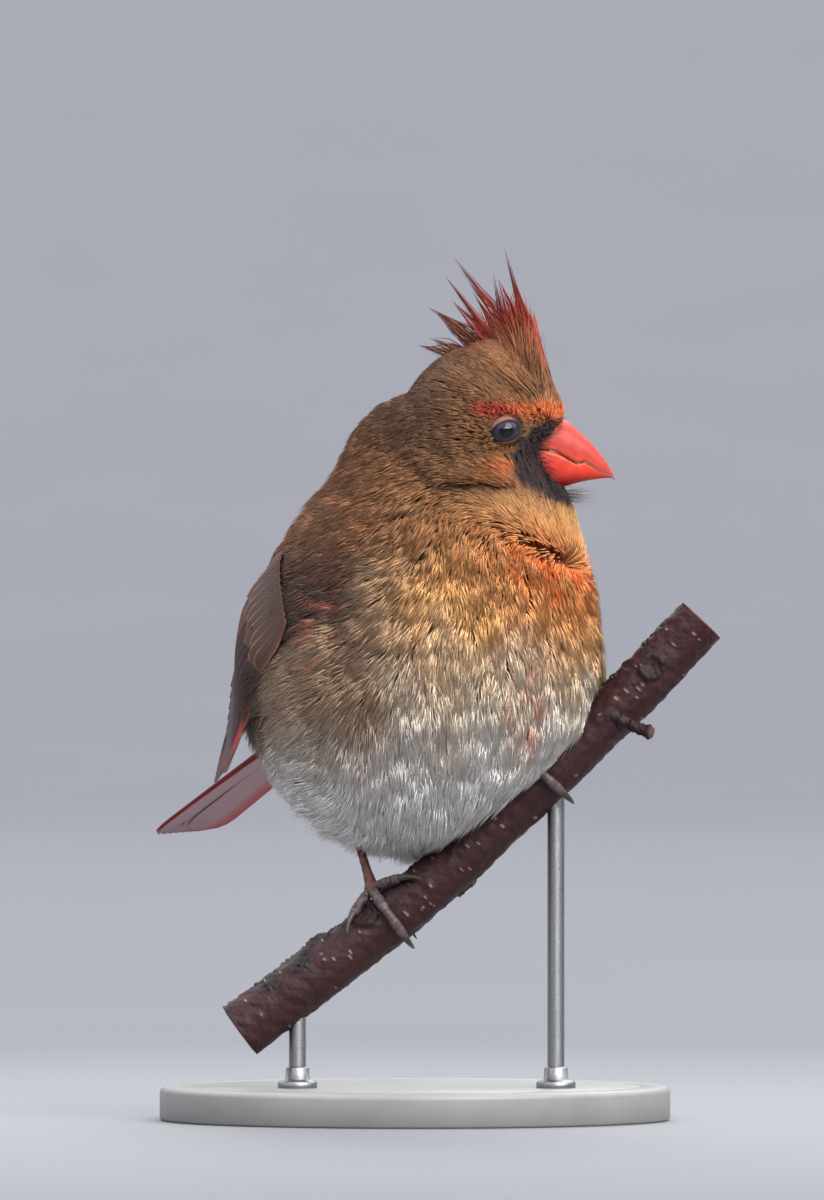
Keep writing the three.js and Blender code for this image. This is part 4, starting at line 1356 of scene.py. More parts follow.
@dataclass
class Face:
    """The small things of the face: the eyes, the lids round them, and dark bristles round the bill.

    Attributes:
        opening: half the eye's opening along and across, in millimetres.
        slant: how far the opening's front end dips, in degrees.
        bristles: the short hairs round the bill's root.
        whiskers: the longer ones under the chin.
    """

    opening: tuple = (3.0, 1.95)
    slant: float = -19.0
    bristles: int = 420
    whiskers: int = 260

    def eye_frame(self, side: str) -> tuple:
        """An eye's centre and its outward, forward and up directions in the head's frame."""
        sign = -1.0 if side == "right" else 1.0
        out = unit(np.array([0.22, sign, 0.02]))
        ahead = unit(np.array([1.0, 0, 0]) - out * out[0])
        return EYES[side], out, ahead, np.cross(ahead, out) * -sign

    def ball(self, side: str, material: Material) -> None:
        """Makes an eyeball: a sphere with the clear front bulging a little."""
        centre, out, ahead, up = self.eye_frame(side)
        polar = np.linspace(0.02, np.pi - 0.02, 48)[:, None]
        turn = full_turn(64)
        r = EYE_RADIUS + 0.22 * np.exp(-((polar / 0.62) ** 2)) + 0 * turn
        p = (r * np.cos(polar))[..., None] * out + (r * np.sin(polar) * np.cos(turn))[..., None] * ahead
        p = p + (r * np.sin(polar) * np.sin(turn))[..., None] * up
        patch = tube(from_head(centre + p), {"ring": polar + 0 * turn})
        build(f"eyeball_{side}", patch, material, (f"eye_{side}",))

    def lids(self, side: str, material: Material) -> None:
        """Makes the lids: a ring whose inner edge hugs the eyeball, swells twice and dives under the coat.

        Its height is the root of the eyeball's r squared less x and y squared, with two rims and beads.

        Args:
            side: right or left.
            material: the lids' finish.
        """
        centre, out, ahead, up = self.eye_frame(side)
        turn = full_turn(96)
        t = np.linspace(0, 1, 22)[:, None]
        a, b = self.opening
        slant = math.radians(self.slant)
        x0, y0 = a * np.cos(turn), b * np.sin(turn) * (1 + 0.10 * np.cos(turn))
        grow = 1 + 0.62 * t
        x, y = x0 * grow, y0 * grow * (1 + 0.10 * t)
        x, y = x * math.cos(slant) - y * math.sin(slant), x * math.sin(slant) + y * math.cos(slant)
        rim = 0.34 * np.exp(-(((t - 0.18) / 0.13) ** 2)) + 0.26 * np.exp(-(((t - 0.58) / 0.16) ** 2))
        beads = 0.09 * np.sin(30 * turn) * bell(t, 0.58, 0.22)
        flat = np.sqrt(np.clip((EYE_RADIUS + 0.02) ** 2 - x**2 - y**2, 0.5, None))
        height = flat + rim + beads - 0.25 * (t < 0.03)
        top = x[..., None] * ahead + y[..., None] * up + height[..., None] * out
        under = top - 0.45 * out
        rings = np.concatenate([top, under[::-1]], 0)
        skin, red, dark = srgb(134, 92, 74), srgb(120, 72, 54), srgb(14, 11, 14)
        ring = mix(skin, red, smooth(y, 0, 2.4)[..., None])
        ring = mix(ring, srgb(74, 63, 64), smooth(x, 1.0, 3.2)[..., None])
        shade = mix(dark, ring, smooth(t, 0.30, 0.46)[..., None] + 0 * x[..., None])
        both = np.concatenate([shade, shade[::-1]], 0)
        closed = np.concatenate([rings, rings[:1]], 0).swapaxes(0, 1)
        colours = np.concatenate([both, both[:1]], 0).swapaxes(0, 1)
        build(f"lids_{side}", self.hoop(from_head(centre + closed), colours), material)

    @staticmethod
    def hoop(sections: Array, colours: Array) -> Patch:
        """A ring-shaped surface: closed sections carried round a loop.

        Args:
            sections: steps round by points of a section by 3, the last point repeating the first.
            colours: of the same size.

        Returns:
            The patch.
        """
        steps, around = sections.shape[0], sections.shape[1] - 1
        p, c = sections[:, :-1].reshape(-1, 3), colours[:, :-1].reshape(-1, 3)
        i, k = np.meshgrid(np.arange(steps), np.arange(around), indexing="ij")
        i2, k2 = (i + 1) % steps, (k + 1) % around
        row, above = i * around, i2 * around
        faces = np.stack([row + k, row + k2, above + k2, above + k], -1).reshape(-1, 4)
        uv = np.stack([0.02 + 0.9 * i / steps, 0.02 + 0.9 * k / around], -1).reshape(-1, 2)
        return Patch(p, outward(p, faces), {"plumage": c, "plate": np.ones(len(p))}, uv)

    def hairs(self, material: Material) -> None:
        """Makes the bristles: thin dark hairs that leave the feathers round the bill and point forward.

        A hair bends away from the bill by the square of the way along.

        Args:
            material: the bristles' finish.
        """
        rng = np.random.default_rng(51)
        n = self.bristles
        turn = rng.uniform(0, 2 * np.pi, n)
        low = smooth(-np.sin(turn), -0.2, 0.9)
        v, w = 6.4 * np.cos(turn), BILL_ROOT[2] + BILL_HALF[1] * np.sin(turn)
        spread = 1 + rng.uniform(0.02, 0.28, n)
        u = 14.0 + 3.5 * np.clip(np.sin(turn), 0, 1) + 2.2 * low + rng.normal(0, 0.8, n)
        root = np.stack([u, v * spread, w * spread - BILL_ROOT[2] * (spread - 1)], -1)
        away = np.stack([np.zeros(n), np.cos(turn), np.sin(turn)], -1)
        way = np.array([1.0, 0, -0.25]) + away * (0.16 + 0.45 * low[:, None])
        way = unit(way + rng.normal(0, 0.16, (n, 3)))
        long = mix(2.0, 5.6, low) * rng.uniform(0.5, 1.2, n)
        s = np.array([0.0, 0.4, 0.75, 1.0])[None, :, None]
        along = long[:, None, None] * s
        path = root[:, None] + way[:, None] * along + away[:, None] * (0.08 * along * s)
        ups = np.broadcast_to(away[:, None] @ HEAD_AXES, path.shape)
        m = self.whiskers
        chin = np.stack([rng.uniform(11.5, 18.5, m), rng.normal(0, 2.8, m), rng.uniform(-17.0, -14.6, m)], -1)
        down = unit(np.array([1.0, 0.0, -0.22]) + rng.normal(0, 0.13, (m, 3)))
        reach = rng.uniform(5.0, 11.0, m)[:, None, None] * s
        whisker = chin[:, None] + down[:, None] * reach + np.array([0.0, 0.0, 0.012]) * reach**2
        path, root = np.concatenate([path, whisker]), np.concatenate([root, chin])
        ups = np.concatenate([ups, np.broadcast_to(HEAD_AXES[2], whisker.shape)])
        colour = np.repeat(srgb(30, 24, 26)[None], n + m, 0)
        tips = np.repeat(srgb(96, 82, 78)[None], n + m, 0)
        breadth = np.concatenate([rng.uniform(0.10, 0.17, n), rng.uniform(0.08, 0.13, m)])
        patch = lock_patch(from_head(path), ups, breadth, unwrap(from_head(root)), colour, 52, tips=tips)
        build("bill_bristles", patch, material)

    def build(self, eye: Material, skin: Material, hair: Material) -> None:
        """Makes both eyes, their lids and the bristles."""
        for side in EYES:
            self.ball(side, eye)
            self.lids(side, skin)
        self.hairs(hair)


@dataclass
class Bill:
    """The cone of the bill in two halves.

    Attributes:
        culmen: the upper ridge, as places forward and up in the head's frame.
        tomium: the cutting edge.
        gonys: the lower ridge.
        gape: the breadth at the root.
        tip: the breadth at the tip.
        steps: sections along.
        around: points round a section.
    """

    culmen: tuple = ((12.0, 0.4), (17.0, 1.2), (20.2, 0.8), (23.0, -1.4), (25.2, -3.4), (27.2, -5.6),
                     (28.9, -7.8), (30.2, -9.8), (31.0, -11.5), (31.4, -12.5))
    tomium: tuple = ((12.0, -5.4), (17.9, -6.3), (20.4, -7.6), (23.2, -9.0), (24.3, -8.6), (25.8, -9.2),
                     (27.7, -10.3), (30.4, -11.9), (31.4, -12.9))
    gonys: tuple = ((12.0, -14.3), (14.1, -14.5), (16.8, -14.4), (20.0, -14.0), (23.2, -13.2),
                    (26.7, -12.6), (30.4, -12.2))
    gape: float = 13.0
    tip: float = 0.9
    steps: int = 70
    around: int = 40

    def profile(self, points: tuple, forward: Array) -> Array:
        """The height of a side line at places forward, read from a smooth curve through its points."""
        curve = spline(np.array(points), np.linspace(0, 1, 300))
        return np.interp(forward, curve[:, 0], curve[:, 1])

    def half(self, name: str, ridge: tuple, length: float, sign: float, material: Material) -> None:
        """Makes one half: upright sections from the cutting edge, rounded to the ridge.

        Its breadth falls as the way along to the power 1.35, and a section rises as the sine of the turn to
        the power 0.82.

        Args:
            name: the piece's name.
            ridge: its ridge line.
            length: how far forward it reaches.
            sign: 1 for the upper half and -1 for the lower.
            material: its finish.
        """
        t = np.linspace(0, 1, self.steps)[:, None]
        forward = mix(12.0, length, np.sin(np.pi / 2 * t))
        high = self.profile(ridge, forward)
        low = self.profile(self.tomium, forward) + sign * 0.12
        depth = np.maximum(np.abs(high - low), 0.3)
        way = (forward - 12.0) / (length - 12.0)
        half = mix(self.gape / 2, self.tip / 2, way**1.35) * (1 if sign > 0 else 0.97)
        turn = np.linspace(0, np.pi, self.around)[None, :]
        rise = np.sin(turn) ** 0.82
        keel = 0.22 * bell(turn, np.pi / 2, 0.22) * (1 - way)
        across = half * np.cos(turn) * (1 + 0.04 * np.sin(2 * turn) ** 2)
        height = low + sign * (depth * rise + keel * depth * 0.2)
        q = np.stack([forward + 0 * turn, across, height], -1)
        red, pale, deep, tip = srgb(188, 38, 16), srgb(208, 92, 54), srgb(176, 44, 40), srgb(110, 62, 48)
        base = red if sign > 0 else srgb(226, 60, 38)
        colour = np.broadcast_to(base, q.shape)
        # The cutting edge is painted paler, fading before the tip: partly the edge's own paler colour, partly
        # a painted highlight along the line between the halves.
        edge = bell(rise, 0.0, 0.16)
        colour = mix(colour, pale, 0.7 * edge[..., None] * (1 - smooth(way, 0.8, 1))[..., None])
        root = 0.55 * (1 - smooth(way, 0.0, 0.30)) * (1 if sign < 0 else 0.5)
        colour = mix(colour, deep, (root + 0 * rise)[..., None])
        colour = mix(colour, tip, (0.6 * smooth(way, 0.93, 1.0) + 0 * rise)[..., None])
        patch = tube(from_head(q), {"plumage": colour})
        build(name, patch, material, (name.replace("half", "bill"),))

    def build(self, material: Material) -> None:
        """Makes both halves."""
        self.half("half_upper", self.culmen, 31.5, 1.0, material)
        self.half("half_lower", self.gonys, 30.6, -1.0, material)


@dataclass
class Wing:
    """A folded wing: flight feathers stacked from the lower edge up, and coverts over their roots."""

    side: str

    def flight_colour(self, a: Array, c: Array, under: bool) -> Array:
        """Red along the exposed outer edge, dark within, greyer towards the tip."""
        red, dark, pale = srgb(176, 54, 44), srgb(24, 17, 19), srgb(158, 122, 110)
        outer = smooth(-c, 0.20, 0.45) * (1 - 0.6 * smooth(a, 0.80, 0.98))
        colour = mix(dark, red, outer[..., None])
        colour = mix(colour, pale, (0.8 * smooth(-c, 0.93, 0.98))[..., None])
        tip = smooth(a, 0.80, 0.93)
        colour = mix(colour, srgb(96, 86, 86), (0.85 * tip)[..., None] + 0 * c[..., None])
        rim = np.maximum(smooth(np.abs(c), 0.84, 0.97), smooth(a, 0.985, 1)) * tip
        colour = mix(colour, srgb(140, 128, 122), (0.7 * rim)[..., None])
        return mix(colour, srgb(112, 94, 92), (0.6 if under else 0.0))

    def tertial_colour(self, a: Array, c: Array, under: bool) -> Array:
        """Brown with a broad pale edge and a red flush."""
        colour = mix(srgb(66, 48, 42), srgb(106, 54, 44), (0.7 * smooth(-c, -0.2, 0.5))[..., None])
        rim = np.maximum(smooth(np.abs(c), 0.68, 0.95), smooth(a, 0.93, 1.0)) * smooth(a, 0.3, 0.8)
        return mix(colour, srgb(134, 106, 88), (0.75 * rim)[..., None])

    def covert_colour(self, a: Array, c: Array, under: bool) -> Array:
        """Grey-brown with pale buff edges and a little red on the outer web."""
        colour = mix(srgb(70, 46, 38), srgb(104, 54, 42), (0.55 * smooth(-c, 0.0, 0.6))[..., None])
        rim = np.maximum(smooth(np.abs(c), 0.78, 0.92), smooth(a, 0.93, 1.0)) * smooth(a, 0.1, 0.4)
        return mix(colour, srgb(158, 124, 100), (0.8 * rim)[..., None])

    def feathers(self) -> list:
        """Every feather of the wing with its colours, from the lowest layer to the highest."""
        sway = [0.012 * math.sin(2.4 * i) for i in range(10)]
        flight, tertial, covert = self.flight_colour, self.tertial_colour, self.covert_colour
        primaries = [FeatherShape((0.34, -0.62 + 0.17 * i), (0.88 + 0.022 * i, -0.42 + 0.16 * i),
                                  3.4, -1.9 + 0.14 * i, 0.16, 0.28, 0.14) for i in range(6)]
        secondaries = [FeatherShape((0.16, -0.76 + 0.17 * i), (0.78 - 0.015 * i, -0.70 + 0.17 * i),
                                    4.3, -0.6 + 0.20 * i, 0.30, 0.3, 0.12) for i in range(8)]
        tertials = [FeatherShape((0.16, 0.42 + 0.13 * i), (0.66 - 0.08 * i, 0.40 + 0.12 * i),
                                 5.2, 1.0 + 0.20 * i, 0.3, 0.32, 0.2) for i in range(3)]
        coverts = [FeatherShape((0.12, -0.84 + 0.17 * i), (0.31 + sway[i], -0.84 + 0.17 * i),
                                2.9, 0.7 + 0.14 * i, 0.3, 0.3, 0.3) for i in range(10)]
        layers = ((primaries, flight), (secondaries, flight), (tertials, tertial), (coverts, covert))
        return [(shape, colour) for shapes, colour in layers for shape in shapes]

    def build(self, material: Material) -> None:
        """Makes the wing."""
        surface = WingSurface(-1.0 if self.side == "right" else 1.0)
        rows = self.feathers()
        places = cells(len(rows))
        patches = [feather(surface, shape, colour, cell) for (shape, colour), cell in zip(rows, places)]
        build(f"wing_feathers_{self.side}", merge(patches), material, (f"wing_{self.side}",))


@dataclass
class Tail:
    """The closed tail: six pairs of long feathers, the middle pair uppermost."""

    pairs: int = 6

    def colour(self, lateral: float) -> object:
        """A feather's colours: brown with red edges above, pale pink-grey with red edges below."""

        def shade(a: Array, c: Array, under: bool) -> Array:
            """The colours by the way along and across, above or below."""
            edge = smooth(np.sign(lateral) * c, 0.25, 0.85)
            if under:
                tip = 0.35 * smooth(a, 0.85, 1) + 0 * c
                base = mix(srgb(186, 152, 156), srgb(136, 104, 104), tip[..., None])
                return mix(base, srgb(190, 66, 58), (0.75 * edge)[..., None])
            return mix(srgb(66, 42, 36), srgb(130, 42, 34), (0.2 + 0.75 * edge)[..., None])

        return shade

    def build(self, material: Material) -> None:
        """Makes the tail."""
        surface = TailSurface()
        rows = []
        for i in range(self.pairs):
            for sign in (-1.0, 1.0):
                place = sign * (i + 0.5) / self.pairs
                level = -0.3 - 0.34 * i - (0.1 if sign < 0 else 0.0)
                shape = FeatherShape((0.02, 0.35 * place), (1.0 - 0.012 * i, 0.62 * place), 4.6, level,
                                     -0.16 * sign, 0.3, 0.10)
                rows.append((shape, self.colour(sign)))
        places = cells(len(rows))
        patches = [feather(surface, shape, colour, cell, 30) for (shape, colour), cell in zip(rows, places)]
        build("tail_feathers", merge(patches), material, ("tail",))


# Legs and feet


def sweep(path: Array, radii: Array, around: int, relief: object = None, start: Array | None = None) -> tuple:
    """A round limb along a path.

    Args:
        path: rows by 3.
        radii: one for each row.
        around: points round it.
        relief: a function of the way along in millimetres and the turn, that gives the extra radius.
        start: the direction of turn zero.

    Returns:
        The rings, the way along in millimetres and the turn.
    """
    ahead = unit(np.gradient(path, axis=0))
    side = np.array([0.0, 0.0, 1.0]) if start is None else start
    side = unit(side - ahead * (ahead @ side)[:, None])
    other = np.cross(ahead, side)
    run = np.concatenate([[0], np.cumsum(np.linalg.norm(np.diff(path, axis=0), axis=1))])[:, None]
    turn = full_turn(around)
    r = radii[:, None] + (relief(run, turn) if relief else 0.0) + 0 * turn
    rings = path[:, None] + side[:, None] * (r * np.cos(turn))[..., None]
    rings = rings + other[:, None] * (r * np.sin(turn))[..., None]
    return rings, run + 0 * turn, turn + 0 * run


class BranchFrame:
    """Where the branch's centre, direction, top and near side are at a place across."""

    def __init__(self, across: float) -> None:
        """Finds the place on the branch's centre line."""
        t = np.linspace(0, 1, 2001)
        curve = spline(branch_points(), t)
        i = int(np.argmin(np.abs(curve @ BRANCH_ALONG - across)))
        self.centre = curve[i]
        self.along = unit(curve[min(i + 1, 2000)] - curve[i - 1])
        self.near = -BRANCH_BACK
        self.top = np.cross(self.near, self.along)

    def wrap(self, arc: Array, shift: Array, reach: float) -> Array:
        """Points round the branch from its top to its near side by an arc, shifted along it."""
        turn = np.asarray(arc, float) / GRIP_RADIUS
        moved = self.centre + np.asarray(shift, float)[..., None] * self.along
        up, near = reach * np.cos(turn), reach * np.sin(turn)
        return moved + up[..., None] * self.top + near[..., None] * self.near


@dataclass(frozen=True)
class Digit:
    """A toe: whether it runs forward or back, its spread in degrees, its length and its claw's."""

    name: str
    forward: float
    spread: float
    length: float
    claw: float


DIGITS = (Digit("hallux", -1, 4, 10, 7.5), Digit("inner", 1, 58, 8.4, 4.8), Digit("middle", 1, -4, 14.5, 6.5),
          Digit("outer", 1, -62, 8.4, 4.6))


@dataclass
class Leg:
    """One foot on the branch, with its toes, claws and the scaled shank above.

    Attributes:
        side: right or left.
        across: the foot's place across the picture plane.
        tibia: where the shank ends under the coat.
        reach: the toes' centre lines from the branch's.
        claw_bend: the radius of a claw's curve.
    """

    side: str
    across: float
    tibia: tuple
    reach: float = 6.3 + 1.05 + 0.35
    claw_bend: float = 9.0

    def colours(self, run: Array, tone: Array) -> Array:
        """The leg's colour, warmer above and greyer on the toes."""
        return np.broadcast_to(tone, run.shape + (3,)) * (1 + 0.12 * np.sin(run * 1.7))[..., None]

    def toe_path(self, digit: Digit, s: Array) -> Array:
        """A helix round the branch."""
        spread = math.radians(digit.spread) * (1 if self.side == "right" else -1)
        run = s * digit.length
        knuckles = 0.25 * np.abs(np.sin(s * np.pi * 2.5)) * np.clip(s * 4, 0, 1)
        frame_ = BranchFrame(self.across)
        path = frame_.wrap(digit.forward * run * math.cos(spread), run * math.sin(spread), self.reach)
        out = unit(path - frame_.centre - ((path - frame_.centre) @ frame_.along)[:, None] * frame_.along)
        return path + out * knuckles[:, None]

    def scales(self, period: float, depth: float) -> object:
        """Plates that overlap towards the toe's end: a saw along the run, strongest on top."""

        def relief(run: Array, turn: Array) -> Array:
            """The extra radius: a saw with a notch between plates."""
            saw = (run / period) % 1.0
            top = 0.35 + 0.65 * np.cos(turn / 2) ** 2
            return depth * (saw - 0.5) * top - 0.6 * depth * bell(saw, 0.0, 0.08)

        return relief

    def limb(self, name: str, path: Array, radii: Array, tone: Array, period: float, material: Material,
             node: str, depth: float = 0.16) -> None:
        """Makes one limb: a tube along a path, with plates where it has a period.

        Args:
            name: the piece's name.
            path: its centre line.
            radii: its radius at each place.
            tone: its colour.
            period: the length of a plate, or 0 for none.
            material: its finish.
            node: the CAD node that it replaces.
            depth: how deep the plates are.
        """
        out = path[len(path) // 2] - BranchFrame(self.across).centre
        relief = self.scales(period, depth) if period else None
        rings, run, _ = sweep(path, radii, 22, relief, unit(out))
        saw = (run / period) % 1.0 if period else np.full_like(run, 0.5)
        build(name, tube(rings, {"plumage": self.colours(run, tone), "plate": saw}), material, (node,))

    def build(self, scales: Material, horn: Material) -> None:
        """Makes the shank, the toes and the claws."""
        toe_tone, shank_tone, claw_tone = srgb(92, 76, 76), srgb(104, 58, 48), srgb(60, 50, 48)
        for digit in DIGITS:
            s = np.linspace(0.05, 1, 54)
            path = self.toe_path(digit, s)
            plump = 1.34 - 0.32 * s + 0.13 * np.cos(s * np.pi * 5) - 0.5 * smooth(s, 0.94, 1.0)
            self.limb(f"scaled_toe_{self.side}_{digit.name}", path, plump, toe_tone, 1.15, scales,
                      f"toe_{self.side}_{digit.name}")
            end, ahead = path[-3], unit(path[-3] - path[-5])
            inward = BranchFrame(self.across).centre - end
            inward = unit(inward - ahead * (inward @ ahead))
            turn = np.linspace(-0.2, digit.claw + 1.0, 30)[:, None] / self.claw_bend
            claw = end + ahead * self.claw_bend * np.sin(turn) + inward * self.claw_bend * (1 - np.cos(turn))
            w = np.linspace(0, 1, 30)
            radii = 0.86 * (1 - w) ** 0.6 * (1 - 0.25 * w) + 0.06
            self.limb(f"horn_claw_{self.side}_{digit.name}", claw, radii, claw_tone, 0, horn,
                      f"claw_{self.side}_{digit.name}")
        low = BranchFrame(self.across).wrap(np.array(0.0), np.array(0.0), self.reach + 0.3)
        high = np.array(self.tibia, float)
        s = np.linspace(0, 1, 70)[:, None]
        path = low + (high - low) * s - unit(high - low) * 0.6
        w = s[:, 0]
        radii = 1.02 + 1.15 * bell(w, 0.0, 0.06) + 0.28 * bell(w, 0.10, 0.08) + 0.25 * smooth(w, 0.7, 1)
        radii = radii * np.sqrt(np.clip(w / 0.03, 0.05, 1))
        self.limb(f"scaled_shank_{self.side}", path, radii, shank_tone, 2.1, scales,
                  f"tarsus_{self.side}", 0.13)


@dataclass
class Perch:
    """The cut length of branch: a tube with rough bark, pale pores, scars and a short dead twig.

    Attributes:
        rows: sections along.
        around: points round.
        pores: how many pale pores there are.
        girth: its mean radius.
        scars: each one's place across, turn in degrees and size.
        collar: the place and turn of the swelling there.
        twig_start: the twig's foot, across and up.
        twig_end: its end.
    """

    rows: int = 420
    around: int = 120
    pores: int = 170
    girth: float = 6.2
    scars: tuple = ((-8.9, 40, 2.9), (-20.0, -30, 3.2), (8.0, 200, 2.2), (30.0, 250, 2.0), (56.0, 80, 2.4))
    collar: tuple = (46.5, 265.0)
    twig_start: tuple = (46, 95.5)
    twig_end: tuple = (55.4, 91.2)

    def round_from(self, turn: Array, start: float) -> Array:
        """Lengths round the bark from a turn, the shorter way, by remainder of the whole way round."""
        half = np.pi * self.girth
        return (turn * self.girth - start * self.girth + half) % (2 * half) - half

    def build(self, material: Material) -> None:
        """Makes the perch: a swept tube whose radius carries waves, a crust, pores, scars and a collar.

        Args:
            material: the bark.
        """
        rng = np.random.default_rng(61)
        t = np.linspace(0, 1, self.rows)
        path = spline(branch_points(), t)
        radii = np.interp(t, np.linspace(0, 1, len(BRANCH_RADIUS)), BRANCH_RADIUS)
        rings, run, turn = sweep(path, radii, self.around, None, np.array([0.0, 0.0, 1.0]))
        length = run[-1, 0]
        out = unit(rings - path[:, None])
        across = (path @ BRANCH_ALONG)[:, None] + 0 * turn
        crust = smooth(np.cos(turn) + 0.35 * Ripple(9, 62)(rings), 0.72, 1.0)
        relief = 0.16 * Ripple(16, 63)(rings) + 0.10 * Ripple(4.0, 64)(rings) + 0.05 * Ripple(1.6, 65)(rings)
        relief = relief + crust * 0.28 * np.abs(Ripple(2.2, 66)(rings))
        pore = np.zeros_like(run)
        for _ in range(self.pores):
            x, start = rng.uniform(2, length - 2), rng.uniform(0, 2 * np.pi)
            wide, thick = rng.uniform(0.45, 0.85), rng.uniform(0.18, 0.30)
            pore = np.maximum(pore, bell(self.round_from(turn, start), 0, wide) * bell(run, x, thick))
        relief = relief + 0.22 * pore
        dark = crust.copy()
        for place, angle, size in self.scars:
            d = np.hypot(self.round_from(turn, math.radians(angle)), across * 1.25 - place * 1.25) / size
            relief = relief + 0.75 * bell(d, 1.0, 0.28) - 0.35 * bell(d, 0.0, 0.55)
            relief = relief + 0.2 * bell(d, 0.35, 0.18)
            relief = relief + bell(d, 1.0, 0.35) * 0.25 * Ripple(1.2, 67)(rings)
            dark = np.maximum(dark, 0.8 * bell(d, 1.05, 0.4))
            pore = np.maximum(pore * (1 - bell(d, 0, 1.0)), 0.35 * bell(d, 0.3, 0.3))
        place, angle = self.collar
        swell = bell(self.round_from(turn, math.radians(angle)), 0, 3.6) * bell(across, place, 3.2)
        relief, dark = relief + 0.9 * swell, np.maximum(dark, 0.7 * swell)
        rings = rings + out * relief[..., None]
        lower = smooth(-np.cos(turn), -0.1, 0.7)
        pore = smooth(pore, 0.35, 0.75)
        wood = {"crust": np.clip(dark, 0, 1), "pore": pore, "lower": lower, "cut": 0 * run}
        patches = [tube(rings, wood)]
        patches[0].values["cut"][-2:] = 1.0
        patches += self.ends(rings)
        patches.append(self.twig())
        build("perch_bark", merge(patches), material, ("perch",))

    def ends(self, rings: Array) -> list:
        """Cut faces: low domes over both ends, with growth rings pressed in."""
        made = []
        for edge, sign in ((rings[0], -1.0), (rings[-1], 1.0)):
            middle = edge.mean(0)
            ahead = unit(np.cross(edge[0] - middle, edge[self.around // 4] - middle))
            ahead = ahead * np.sign(ahead @ (rings[-1].mean(0) - rings[0].mean(0))) * sign
            w = np.linspace(0.985, 0.02, 26)[:, None, None]
            grain = 0.06 * np.sin(w * 26) + 0.25 * (1 - w**6)
            disc = middle + (edge[None] - middle) * w + ahead * grain
            base = (middle + (edge - middle) * 0.97 - ahead * 0.5)[None]
            stack = np.concatenate([base, disc], 0)
            zero = np.zeros(stack.shape[:2])
            rings_seen = 0.75 + 0.25 * np.sin(w[..., 0] * 26) + zero[1:]
            cut = np.concatenate([zero[:1], rings_seen])
            made.append(tube(stack, {"crust": zero, "pore": zero, "lower": zero, "cut": cut}))
        return made

    def twig(self) -> Patch:
        """The dead twig's stub, thickest at its foot, with a broken end."""

        def at(place: tuple, near: float) -> Array:
            """A point by its place across and up, nearer the camera than the branch's centre."""
            p = place[0] * BRANCH_ALONG + (BRANCH_DEPTH - near) * BRANCH_BACK
            p[2] = place[1]
            return p

        a, b = at(self.twig_start, 4.0), at(self.twig_end, 9.0)
        s = np.linspace(0, 1, 40)[:, None]
        path = a + (b - a) * s + np.array([0, 0, -0.5]) * np.sin(np.pi * s)
        w = s[:, 0]
        radii = 1.35 + 0.9 * bell(w, 0.0, 0.22) + 0.35 * bell(w, 0.93, 0.07) - 0.5 * smooth(w, 0.97, 1)
        rings, run, _ = sweep(path, radii, 28)
        rough = 0.16 * Ripple(1.6, 71)(rings) + 0.12 * Ripple(3.5, 72)(rings)
        rings = rings + unit(rings - path[:, None]) * rough[..., None]
        zero, cut = 0 * run, smooth(run / run.max(), 0.97, 1.0) * 0.6
        return tube(rings, {"crust": zero + 0.65, "pore": zero, "lower": zero, "cut": cut})


@dataclass
class Stand:
    """A round painted base and two steel rods, each in a small collar.

    Attributes:
        radius: the base's.
        thickness: the base's.
        edge: the rounding of its upper edge.
        groove: how far in from the edge a fine groove runs.
        rod: a rod's radius.
        rods: each rod's name and its place across the picture plane.
    """

    radius: float = 60.0
    thickness: float = 8.0
    edge: float = 1.5
    groove: float = 6.0
    rod: float = 2.0
    rods: tuple = (("lower", -27.5), ("upper", 33.0))

    def turned(self, profile: Array, centre: tuple, around: int = 128) -> Patch:
        """A profile of radius and height turned round an upright line."""
        turn = full_turn(around)
        r, z = profile[:, :1], profile[:, 1:]
        rings = np.stack([centre[0] + r * np.cos(turn), centre[1] + r * np.sin(turn), z + 0 * turn], -1)
        return tube(rings, {"along_mm": z + 0 * turn})

    def build(self, paint: Material, steel: Material) -> None:
        """Makes the base and the rods."""
        bend = np.linspace(0, np.pi / 2, 10)
        inner, top, edge = self.radius - self.edge, self.thickness, self.edge
        corner = np.column_stack([inner + edge * np.cos(bend), top - edge + edge * np.sin(bend)])
        foot = [[self.radius * 0.5, 0.0], [self.radius - 0.6, 0.0], [self.radius, 0.6]]
        out = self.radius - self.groove
        ring = [[out, top], [out - 0.4, top - 0.35], [out - 0.9, top - 0.35], [out - 1.3, top],
                [self.radius * 0.4, top], [1.0, top]]
        base = self.turned(np.vstack([[[1.0, 0.0]], foot, corner, ring]), (0.0, 0.0))
        build("stand_base_painted", base, paint, ("stand_base",))
        for name, across in self.rods:
            centre = BranchFrame(across).centre
            z = np.linspace(top - 0.5, centre[2] - 3.0, 80)
            shaft = np.column_stack([np.full_like(z, self.rod), z])
            collar = np.array([[-0.2, -0.4], [2.6, -0.4], [2.6, 1.2], [2.2, 1.7], [0.9, 2.0], [0.7, 4.6],
                               [0.4, 5.0], [-0.2, 5.0]]) + [self.rod, top]
            patch = merge([self.turned(shaft, centre[:2], 48), self.turned(collar, centre[:2], 48)])
            build(f"stand_rod_{name}_steel", patch, steel, (f"stand_rod_{name}",))


